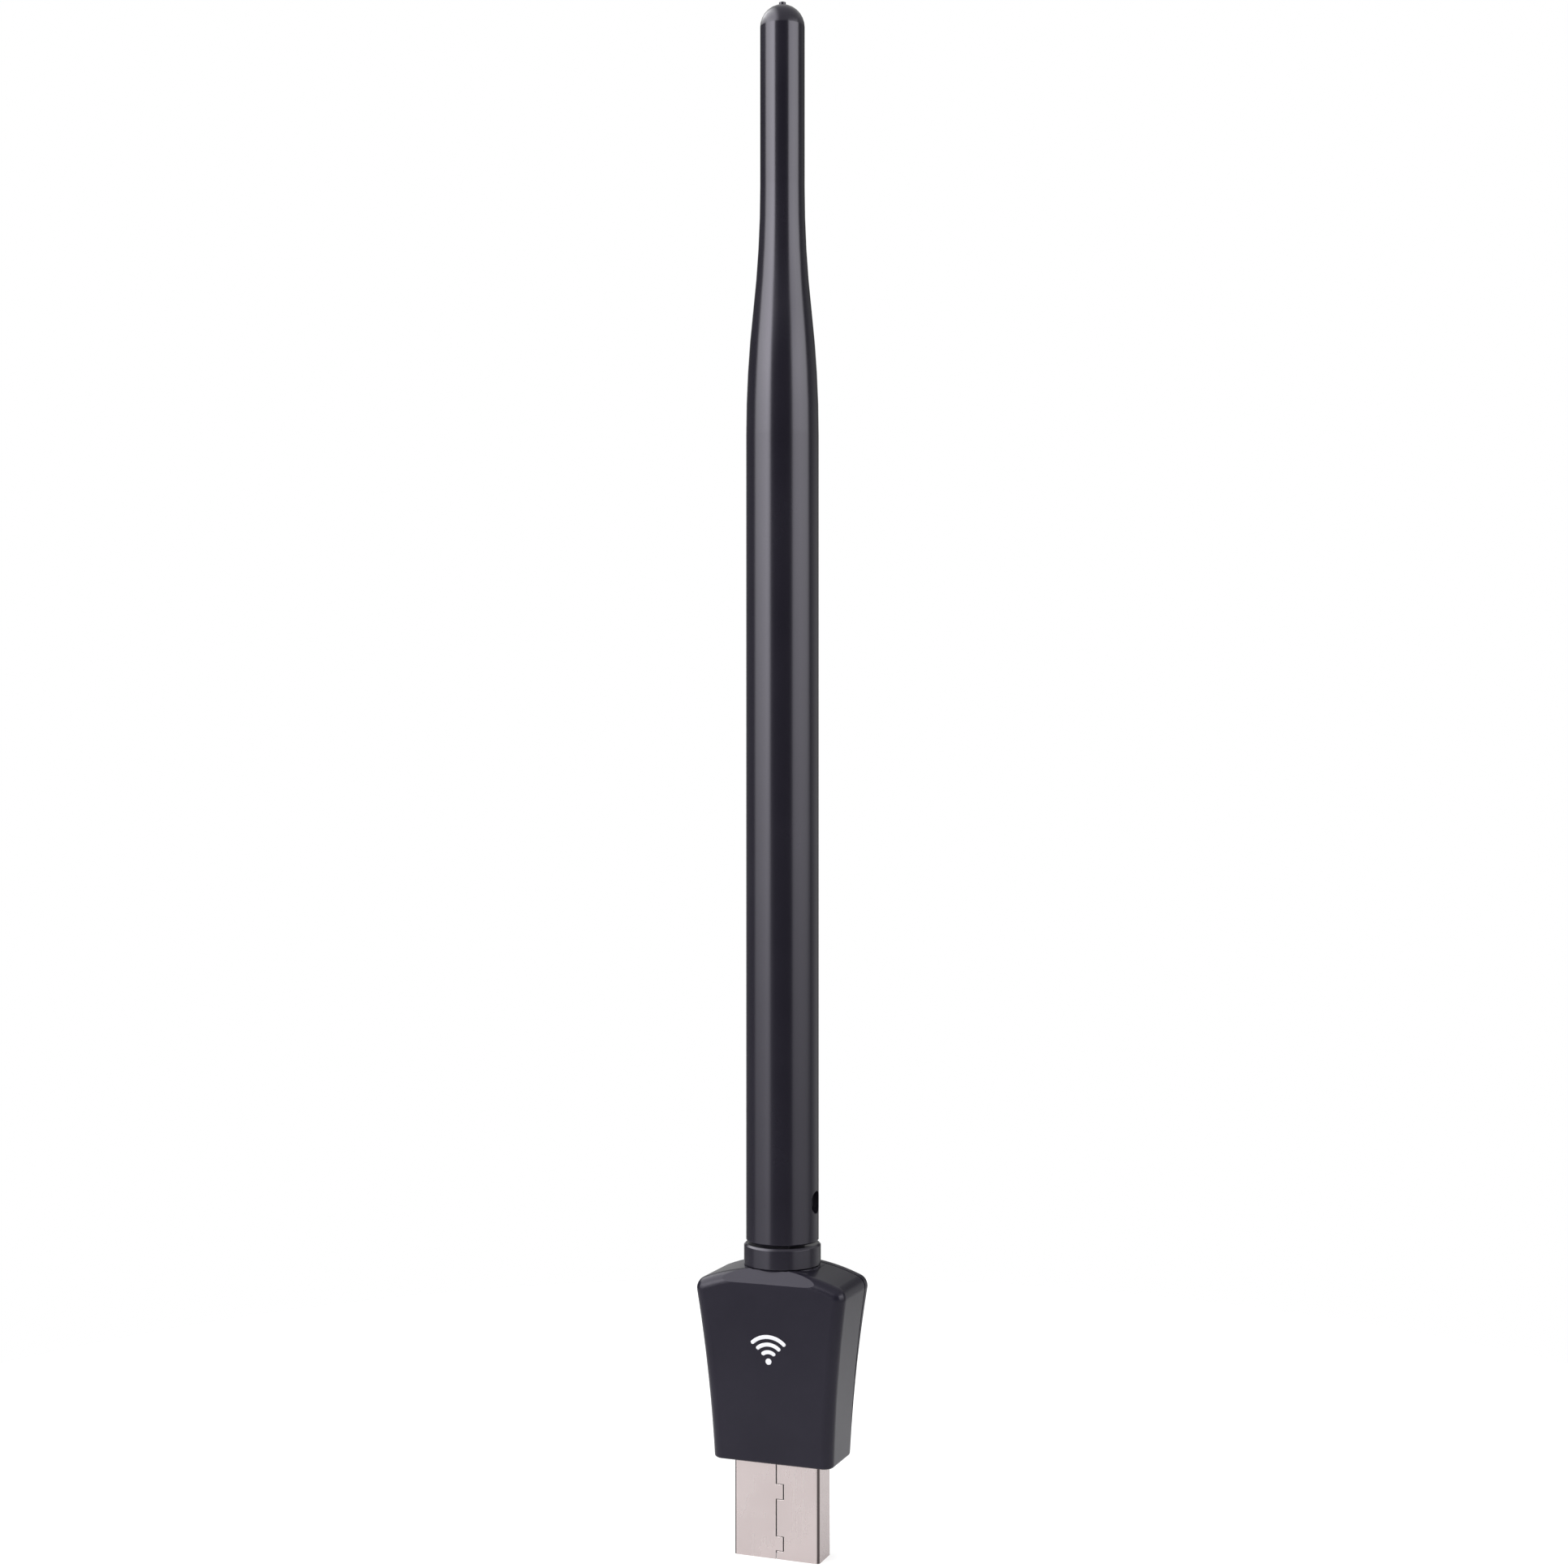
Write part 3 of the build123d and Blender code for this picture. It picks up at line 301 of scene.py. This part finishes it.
print("metals", [m.name for m in (plug_nickel, contact_gold, pin_steel, tinned, brass, copper)])

# %% [markdown]
# ## Matte pieces
# Plastic tongues, moulded chips, ceramic chips and the cable's jacket differ in colour and in how
# coarse their grain is, so one function makes them all.

# %% Matte finishes
SPECKLE_SPACING = 2.5
SPECKLE_DEPTH = 0.06
RUBBED_FROM, RUBBED_TO = 0.02, 0.25
RUBBED_SHARE = 0.4
RUBBED_LIGHTER = 1.6
MATTE_HEIGHT = 0.02 * MM


def matte(name, base, tint, rough, grain_mm, grain_depth=0.3, edge_mm=0.04):
    """A dull finish with speckled colour, an uneven roughness and a visible grain."""
    made, tree, shader = start_material(name)
    level = place(tree)
    grain_per_metre = 1.0 / (grain_mm * MM)
    speckle = noise(tree, level, grain_per_metre / SPECKLE_SPACING, detail=4.0, rough=0.7)
    grain = noise(tree, level, grain_per_metre, detail=3.0, rough=0.65)
    edge = edge_mask(tree, edge_mm * MM, RUBBED_FROM, RUBBED_TO)
    rubbed = tuple(min(1.0, RUBBED_LIGHTER * channel) for channel in tint)
    colour = mixed(tree, spread(tree, speckle, 0.0, 1.0), base, tint)
    colour = mixed(tree, worked(tree, "MULTIPLY", edge, RUBBED_SHARE), colour, rubbed)
    tree.links.new(colour, shader.inputs["Base Color"])
    uneven = spread(tree, speckle, rough - SPECKLE_DEPTH, rough + SPECKLE_DEPTH)
    tree.links.new(uneven, shader.inputs["Roughness"])
    normal = bump(tree, grain, grain_depth, MATTE_HEIGHT, rounded_normal(tree, edge_mm * MM))
    tree.links.new(normal, shader.inputs["Normal"])
    return made


tongue_black = matte("tongue_black", (0.014, 0.014, 0.015), (0.026, 0.026, 0.028),
                     rough=0.48, grain_mm=0.09)
chip_epoxy = matte("chip_epoxy", (0.013, 0.013, 0.014), (0.028, 0.028, 0.03),
                   rough=0.6, grain_mm=0.05, grain_depth=0.5)
fired_ceramic = matte("fired_ceramic", (0.36, 0.25, 0.15), (0.5, 0.37, 0.24),
                      rough=0.5, grain_mm=0.06)
cable_jacket = matte("cable_jacket", (0.02, 0.02, 0.022), (0.034, 0.034, 0.037),
                     rough=0.42, grain_mm=0.05, grain_depth=0.2)
spacer_white = matte("spacer_white", (0.66, 0.65, 0.61), (0.78, 0.77, 0.73),
                     rough=0.45, grain_mm=0.08, grain_depth=0.2)
matte_finishes = (tongue_black, chip_epoxy, fired_ceramic, cable_jacket, spacer_white)
print("matte finishes", [finish.name for finish in matte_finishes])

# %% [markdown]
# ## Circuit board
# Solder mask is a green lacquer over copper. Where a track runs underneath, the lacquer is lighter
# and stands a little proud. A brick pattern of thin mortar lines on the board's X and Z stands for
# the tracks, and a fine weave shows the glass cloth.

# %% Board finish
TRACK_CELL = 9.0 * MM
WEAVE_PER_METRE = 6000.0
WEAVE_DEPTH = 0.25
MASK_CLOUDS_PER_METRE = 300.0
MASK_DARK = (0.008, 0.085, 0.03)
MASK_LIGHT = (0.012, 0.12, 0.045)
TRACK_GREEN = (0.03, 0.24, 0.09)
MASK_SMOOTH, MASK_ROUGH = 0.24, 0.36
TRACK_STRENGTH = 0.4
TRACK_HEIGHT = 0.02 * MM
BOARD_EDGE = 0.03 * MM


def board_green(name):
    """Green mask with lighter tracks from a brick pattern, raised by bump, over a fine weave."""
    made, tree, shader = start_material(name)
    coords = tree.nodes.new("ShaderNodeTexCoord")
    turned = tree.nodes.new("ShaderNodeMapping")
    turned.inputs["Rotation"].default_value = (math.pi / 2, 0, 0)
    tree.links.new(coords.outputs["Object"], turned.inputs["Vector"])
    tracks = tree.nodes.new("ShaderNodeTexBrick")
    tracks.inputs["Scale"].default_value = 1.0 / TRACK_CELL
    tracks.inputs["Mortar Size"].default_value = 0.012
    tracks.inputs["Brick Width"].default_value = 0.23
    tracks.inputs["Row Height"].default_value = 0.11
    tracks.offset = 0.37
    tree.links.new(turned.outputs["Vector"], tracks.inputs["Vector"])
    level = place(tree)
    weave = noise(tree, level, WEAVE_PER_METRE, detail=2.0)
    clouds = noise(tree, level, MASK_CLOUDS_PER_METRE, detail=3.0)
    mask = mixed(tree, spread(tree, clouds, 0.0, 1.0), MASK_DARK, MASK_LIGHT)
    colour = mixed(tree, tracks.outputs["Fac"], mask, TRACK_GREEN)
    tree.links.new(colour, shader.inputs["Base Color"])
    tree.links.new(spread(tree, clouds, MASK_SMOOTH, MASK_ROUGH), shader.inputs["Roughness"])
    height = worked(tree, "ADD", tracks.outputs["Fac"], worked(tree, "MULTIPLY", weave, WEAVE_DEPTH))
    normal = bump(tree, height, TRACK_STRENGTH, TRACK_HEIGHT, rounded_normal(tree, BOARD_EDGE))
    tree.links.new(normal, shader.inputs["Normal"])
    return made


board_mask = board_green("board_mask")
print("board finish", board_mask.name)

# %% [markdown]
# ## One finish for each CAD node
# Every node that the frame brings in gets one of the finishes above in each of its material slots.

# %% Put the finishes on the CAD nodes
FINISH = {
    "front_cover": casing_black,
    "rear_cover": casing_black,
    "swivel_base": antenna_black,
    "antenna_sleeve": antenna_black,
    "usb_shell": plug_nickel,
    "usb_insulator": tongue_black,
    "circuit_board": board_mask,
    "wifi_chip": chip_epoxy,
    "rf_amplifier": chip_epoxy,
    "voltage_regulator": chip_epoxy,
    "power_inductor": chip_epoxy,
    "chip_resistors": chip_epoxy,
    "antenna_filter": fired_ceramic,
    "chip_capacitors": fired_ceramic,
    "crystal": tinned,
    "cable_clamp": tinned,
    "cable_in_casing": cable_jacket,
    "cable_through_hinge": cable_jacket,
    "cable_in_antenna": cable_jacket,
    "hinge_pin_left": pin_steel,
    "hinge_pin_right": pin_steel,
    "cable_ferrule": brass,
    "radiator_sleeve": brass,
    "radiator_rod": copper,
    "radiator_coil": copper,
    "radiator_tip_wire": copper,
    "radiator_spacer": spacer_white,
}
FINISH.update({f"usb_contact_{number}": contact_gold for number in range(1, 5)})
for node_name, finish in FINISH.items():
    node_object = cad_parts[node_name]
    for slot_index in range(len(node_object.material_slots)):
        node_object.material_slots[slot_index].material = finish
print(len(FINISH), "nodes finished of", len(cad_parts))

# %% [markdown]
# ## Surfaces from grids
# Each new piece is a grid of points worked out in one go, then handed to Blender. A tube is a closed
# section carried along a path. Its ends are closed with a fan to a middle point.

# %% From a grid to a mesh


def grid_piece(name, points, finish):
    """A closed mesh from points[i, j]: j runs round the section and i along the path.

    The first and the last ring are closed with a fan to their middle point.
    """
    rows, columns = points.shape[:2]
    here = np.arange(rows * columns).reshape(rows, columns)
    after = np.roll(here, -1, axis=1)
    quads = np.stack([here[:-1], after[:-1], after[1:], here[1:]], axis=-1).reshape(-1, 4)
    ends = np.stack([points[0].mean(axis=0), points[-1].mean(axis=0)])
    low, high = rows * columns, rows * columns + 1
    fan_low = np.stack([np.full(columns, low), after[0], here[0]], axis=-1)
    fan_high = np.stack([np.full(columns, high), here[-1], after[-1]], axis=-1)
    mesh = bpy.data.meshes.new(name)
    verts = np.vstack([points.reshape(-1, 3), ends])
    mesh.from_pydata(verts.tolist(), [], quads.tolist() + fan_low.tolist() + fan_high.tolist())
    mesh.polygons.foreach_set("use_smooth", np.full(len(mesh.polygons), True))
    mesh.materials.append(finish)
    mesh.update()
    piece = bpy.data.objects.new(name, mesh)
    bpy.context.scene.collection.objects.link(piece)
    return piece


print("grids are joined round the section and closed at both ends")

# %% [markdown]
# ## The cable through the hinge
# A thin coaxial cable comes up through the collar, passes between the two stub pins and goes into the
# tube. It is the one soft piece, because it bends each time the antenna folds. A round section
# carried up a straight line would do at rest. It gets many rings, so that it can bend smoothly.

# %% Bending cable
CABLE_SIDES = 28
CABLE_RINGS = 150
END_NARROWING = 0.12


def cable_surface(low, high, radius):
    """Circles at even heights from low to high, all of one radius but for narrower end rings.

    At each height x is the ring's size times the cosine of the turn, and y the size times its sine.
    """
    height = np.linspace(low, high, CABLE_RINGS)
    size = np.full(CABLE_RINGS, radius)
    size[[0, -1]] *= 1.0 - END_NARROWING
    turn = 2 * np.pi * np.arange(CABLE_SIDES) / CABLE_SIDES
    x = size[:, None] * np.cos(turn)
    y = size[:, None] * np.sin(turn)
    z = np.repeat(height[:, None], CABLE_SIDES, axis=1)
    return np.stack([x, y, z], axis=-1)


cable_radius = (cable_high.x - cable_low.x) / 2
cable_points = cable_surface(cable_low.z, cable_high.z, cable_radius)
bending_cable = grid_piece("bending_cable", cable_points, cable_jacket)
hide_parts("cable_through_hinge")
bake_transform(bending_cable)
print("bending cable of", len(bending_cable.data.vertices), "points")

# %% [markdown]
# ## The printed symbol
# The front face carries a small white mark, pad-printed in one pass of ink a few hundredths of a
# millimetre thick. Here it is a plain sign for radio waves: a dot and three arcs above it. Each arc
# is a stroke: a flat, rounded section carried along part of a circle, narrowing to round ends. The
# front face leans a little, so the strokes are laid on its plane.

# %% White ink
ink_white = matte("ink_white", (0.56, 0.56, 0.59), (0.68, 0.68, 0.71),
                  rough=0.5, grain_mm=0.06, grain_depth=0.15, edge_mm=0.01)
print("ink", ink_white.name)

# %% The leaning front face, measured on the cover's own mesh
LOW_BAND = 2.0 * MM
cover_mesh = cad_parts["front_cover"].data
cover_points = np.empty(3 * len(cover_mesh.vertices))
cover_mesh.vertices.foreach_get("co", cover_points)
cover_points = cover_points.reshape(-1, 3)
low_points = cover_points[cover_points[:, 2] < cover_low.z + LOW_BAND]
low_spot = low_points[low_points[:, 1].argmin()]
high_spot = cover_points[cover_points[:, 1].argmin()]
slope = (high_spot[1] - low_spot[1]) / (high_spot[2] - low_spot[2])
face_foot = np.array([0.0, high_spot[1] - slope * (high_spot[2] - cover_low.z), cover_low.z])
face_up = np.array([0.0, slope, 1.0]) / math.hypot(slope, 1.0)
face_out = np.array([0.0, -face_up[2], face_up[1]])
print("front face leans from", round(face_foot[1] / MM, 3), "to", round(high_spot[1] / MM, 3), "mm")

# %% Strokes of the symbol
STROKE_STEPS = 60
STROKE_SIDES = 20
SECTION_POWER = 0.6
END_THICKNESS = 0.05


def stroke(path, across, half_width, ink):
    """A flat rounded section on a path in the plane of the face.

    Offsets go along a sideways direction by half_width times a cosine, and out of the face by ink
    times a sine, both raised to SECTION_POWER, which squares the section. Near the ends the width
    shrinks as a half circle does, so that they are round.
    """
    turn = 2 * np.pi * np.arange(STROKE_SIDES) / STROKE_SIDES
    run = np.concatenate([[0.0], np.cumsum(np.linalg.norm(np.diff(path, axis=0), axis=1))])
    to_end = np.minimum(run, run[-1] - run)
    share = np.clip(to_end / half_width, 0.0, 1.0)
    shrink = np.sqrt(np.clip(1.0 - (1.0 - share) ** 2, 0.0, 1.0))
    side = half_width * np.sign(np.cos(turn)) * np.abs(np.cos(turn)) ** SECTION_POWER
    lift = ink * np.sign(np.sin(turn)) * np.abs(np.sin(turn)) ** SECTION_POWER
    flat = path[:, None, :] + (shrink[:, None] * side)[..., None] * across[:, None, :]
    raised = np.maximum(shrink, END_THICKNESS)[:, None] * lift
    return np.concatenate([flat, np.broadcast_to(raised, flat.shape[:2])[..., None]], axis=-1)


def on_face(flat):
    """From (sideways, up the face, out of the face) to places on the leaning front face."""
    sideways = np.array([1.0, 0.0, 0.0])
    return face_foot + flat[..., :1] * sideways + flat[..., 1:2] * face_up + flat[..., 2:] * face_out


print("strokes with", STROKE_STEPS, "rings of", STROKE_SIDES, "points")

# %% Lay the symbol on the face
DOT_HEIGHT = 13.65 * MM
DOT_RADIUS = 0.42 * MM
ARC_RADII = (1.25 * MM, 2.25 * MM, 3.25 * MM)
ARC_HALF_ANGLE = math.radians(47.0)
STROKE_HALF = 0.26 * MM
INK = 0.035 * MM
dot_middle = np.array([0.0, DOT_HEIGHT])
angles = np.linspace(-ARC_HALF_ANGLE, ARC_HALF_ANGLE, STROKE_STEPS)
outward = np.stack([np.sin(angles), np.cos(angles)], axis=-1)
for number, radius in enumerate(ARC_RADII, 1):
    flat_arc = stroke(dot_middle + radius * outward, outward, STROKE_HALF, INK)
    arc = grid_piece(f"symbol_arc_{number}", on_face(flat_arc), ink_white)
    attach(arc, "casing")
dot_run = np.linspace(-DOT_RADIUS, DOT_RADIUS, STROKE_STEPS)
dot_path = dot_middle + np.stack([np.zeros_like(dot_run), dot_run], axis=-1)
dot_across = np.tile([1.0, 0.0], (STROKE_STEPS, 1))
dot = grid_piece("symbol_dot", on_face(stroke(dot_path, dot_across, DOT_RADIUS, INK)), ink_white)
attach(dot, "casing")
print("symbol of", len(ARC_RADII) + 1, "printed pieces")

# %% [markdown]
# ## Camera
# The camera stands in front, a little to the right, level with the middle of the object, so that the
# upright edges stay upright.

# %% Camera
VIEW_TURN = math.radians(21.0)
VIEW_DISTANCE = 0.305
VIEW_HEIGHT = 0.102
LENS = 52.84
camera_data = bpy.data.cameras.new("camera")
camera_data.lens = LENS
camera_data.sensor_width = 36.0
camera_data.shift_x = 0.001
camera_data.clip_start = 0.01
camera = bpy.data.objects.new("camera", camera_data)
bpy.context.scene.collection.objects.link(camera)
camera.location = (VIEW_DISTANCE * math.sin(VIEW_TURN), -VIEW_DISTANCE * math.cos(VIEW_TURN), VIEW_HEIGHT)
camera.rotation_euler = (math.pi / 2, 0, VIEW_TURN)
bpy.context.scene.camera = camera
bpy.context.scene.view_settings.view_transform = "Standard"
print("camera", [round(c, 4) for c in camera.location])

# %% [markdown]
# ## Studio
# The studio is in the world's shader, because nothing in it has to be seen. It is a tent with two tall
# soft boxes, one on each side of the camera, which draw the two long highlights on the tube. The side
# towards the camera is dim, so that the dark plastic keeps its depth. The roof is bright on the left,
# so that the bevel over the front face shows. What the camera sees directly is plain white.

# %% Directions in the studio
# Pairs of degrees to the right of the camera's side, and brightness from 0 to 1.
TENT = ((-180, 0.45), (-164, 0.6), (-157, 0.12), (-104, 0.12), (-60, 0.2), (-40, 0.42), (-30, 0.16),
        (-20, 0.08), (25, 0.06), (33, 0.13), (95, 0.2), (118, 0.5), (136, 0.55), (148, 0.3),
        (154, 0.12), (162, 0.14), (168, 0.6), (180, 0.45))
SOFT_BOXES = ((-100, 0.0), (-93, 0.5), (-68, 0.8), (-50, 1.0), (-43, 1.0), (-37, 0.0), (29, 0.0),
              (35, 0.62), (60, 0.66), (86, 0.5), (94, 0.0))
FULL_CIRCLE = 360.0


def compass_ramp(tree, turn, stops):
    """A ramp over the whole circle, from degrees and brightness. A ramp starts with two stops."""
    ramp = tree.nodes.new("ShaderNodeValToRGB")
    elements = ramp.color_ramp.elements
    for number, (degrees, level) in enumerate(stops):
        spot = 0.5 + degrees / FULL_CIRCLE
        element = elements[number] if number < 2 else elements.new(spot)
        element.position = spot
        element.color = (level, level, level, 1.0)
    tree.links.new(turn, ramp.inputs["Fac"])
    return ramp.outputs["Color"]


world = bpy.data.worlds.new("studio")
bpy.context.scene.world = world
world.use_nodes = True
sky = world.node_tree
direction = sky.nodes.new("ShaderNodeTexCoord")
turned = sky.nodes.new("ShaderNodeMapping")
turned.inputs["Rotation"].default_value = (0, 0, math.pi / 2 - VIEW_TURN)
sky.links.new(direction.outputs["Generated"], turned.inputs["Vector"])
compass = sky.nodes.new("ShaderNodeTexGradient")
compass.gradient_type = "RADIAL"
sky.links.new(turned.outputs["Vector"], compass.inputs["Vector"])
parts = sky.nodes.new("ShaderNodeSeparateXYZ")
sky.links.new(turned.outputs["Vector"], parts.inputs["Vector"])
to_right = parts.outputs["Y"]
rise = parts.outputs["Z"]
print("tent of", len(TENT), "stops and soft boxes of", len(SOFT_BOXES), "stops")

# %% Soft boxes brighter with height, a tent dimmer with height, and a roof
BOX_LOW, BOX_HIGH = 1.3, 8.0
BOX_FROM, BOX_TO = -0.15, 0.29
TENT_DIMMED = 0.5
TENT_FROM, TENT_TO = 0.1, 0.24
ROOF_LEFT, ROOF_RIGHT = 4.6, 0.7
ROOF_LEFT_END, ROOF_RIGHT_END = -0.52, -0.25
ROOF_FROM, ROOF_TO = 0.34, 0.56
box_gain = spread(sky, rise, BOX_LOW, BOX_HIGH, BOX_FROM, BOX_TO)
boxes = worked(sky, "MULTIPLY", compass_ramp(sky, compass.outputs["Fac"], SOFT_BOXES), box_gain)
tent_gain = spread(sky, rise, 1.0, TENT_DIMMED, TENT_FROM, TENT_TO)
tent = worked(sky, "MULTIPLY", compass_ramp(sky, compass.outputs["Fac"], TENT), tent_gain)
walls = worked(sky, "ADD", tent, boxes)
roof = spread(sky, to_right, ROOF_LEFT, ROOF_RIGHT, ROOF_LEFT_END, ROOF_RIGHT_END)
roof_share = spread(sky, rise, 0.0, 1.0, ROOF_FROM, ROOF_TO)
below_roof = worked(sky, "MULTIPLY", walls, worked(sky, "SUBTRACT", 1.0, roof_share))
light = worked(sky, "ADD", below_roof, worked(sky, "MULTIPLY", roof_share, roof))
seen_directly = sky.nodes.new("ShaderNodeLightPath").outputs["Is Camera Ray"]
background = sky.nodes["Background"]
sky.links.new(worked(sky, "MAXIMUM", light, seen_directly), background.inputs["Strength"])
background.inputs["Color"].default_value = (1.0, 1.0, 1.0, 1.0)
print("roof", ROOF_LEFT, "on the left and", ROOF_RIGHT, "on the right")

# %% [markdown]
# ## Table
# The adapter stands on its plug on a round pale table, made as a grid of rings and spokes. A pool of
# light round the foot brightens what the plug mirrors, and the darker rim keeps the casing dark.

# %% Table top
TABLE_RADIUS = 0.17
TABLE_RINGS = 40
TABLE_SPOKES = 96
ring_radius = TABLE_RADIUS * np.linspace(0.0, 1.0, TABLE_RINGS)[1:]
spoke = 2 * np.pi * np.arange(TABLE_SPOKES) / TABLE_SPOKES
ring_x = np.outer(ring_radius, np.cos(spoke))
ring_y = np.outer(ring_radius, np.sin(spoke))
ring_points = np.stack([ring_x, ring_y, np.zeros_like(ring_x)], axis=-1).reshape(-1, 3)
table_points = np.vstack([[[0.0, 0.0, 0.0]], ring_points])
here = 1 + np.arange(ring_x.size).reshape(ring_x.shape)
after = np.roll(here, -1, axis=1)
table_quads = np.stack([here[:-1], here[1:], after[1:], after[:-1]], axis=-1).reshape(-1, 4)
table_middle = np.stack([np.zeros(TABLE_SPOKES, int), here[0], after[0]], axis=-1)
table_mesh = bpy.data.meshes.new("table")
table_mesh.from_pydata(table_points.tolist(), [], table_quads.tolist() + table_middle.tolist())
table = bpy.data.objects.new("table", table_mesh)
bpy.context.scene.collection.objects.link(table)
print("table of", len(table_points), "points")

# %% Table finish
POOL = 0.46
POOL_FULL, POOL_END = 0.055, 0.12
TABLE_SEEN = 0.7
table_white, table_tree, table_shader = start_material("table_white")
table_shader.inputs["Base Color"].default_value = (0.35, 0.35, 0.35, 1.0)
table_shader.inputs["Roughness"].default_value = 0.8
table_shader.inputs["Specular IOR Level"].default_value = 0.2
table_shader.inputs["Emission Color"].default_value = (1.0, 1.0, 1.0, 1.0)
from_foot = table_tree.nodes.new("ShaderNodeVectorMath")
from_foot.operation = "LENGTH"
table_tree.links.new(place(table_tree), from_foot.inputs[0])
# Painted pool of light: the table glows round the foot, fading out by POOL_END.
pool = spread(table_tree, from_foot.outputs["Value"], POOL, 0.0, POOL_FULL, POOL_END)
# Painted light: for the camera the table glows at least TABLE_SEEN, so it looks white and the plug's
# shadow fades.
seen = table_tree.nodes.new("ShaderNodeLightPath").outputs["Is Camera Ray"]
glow = worked(table_tree, "MAXIMUM", pool, worked(table_tree, "MULTIPLY", seen, TABLE_SEEN))
table_tree.links.new(glow, table_shader.inputs["Emission Strength"])
table_mesh.materials.append(table_white)
print("table finish", table_white.name)
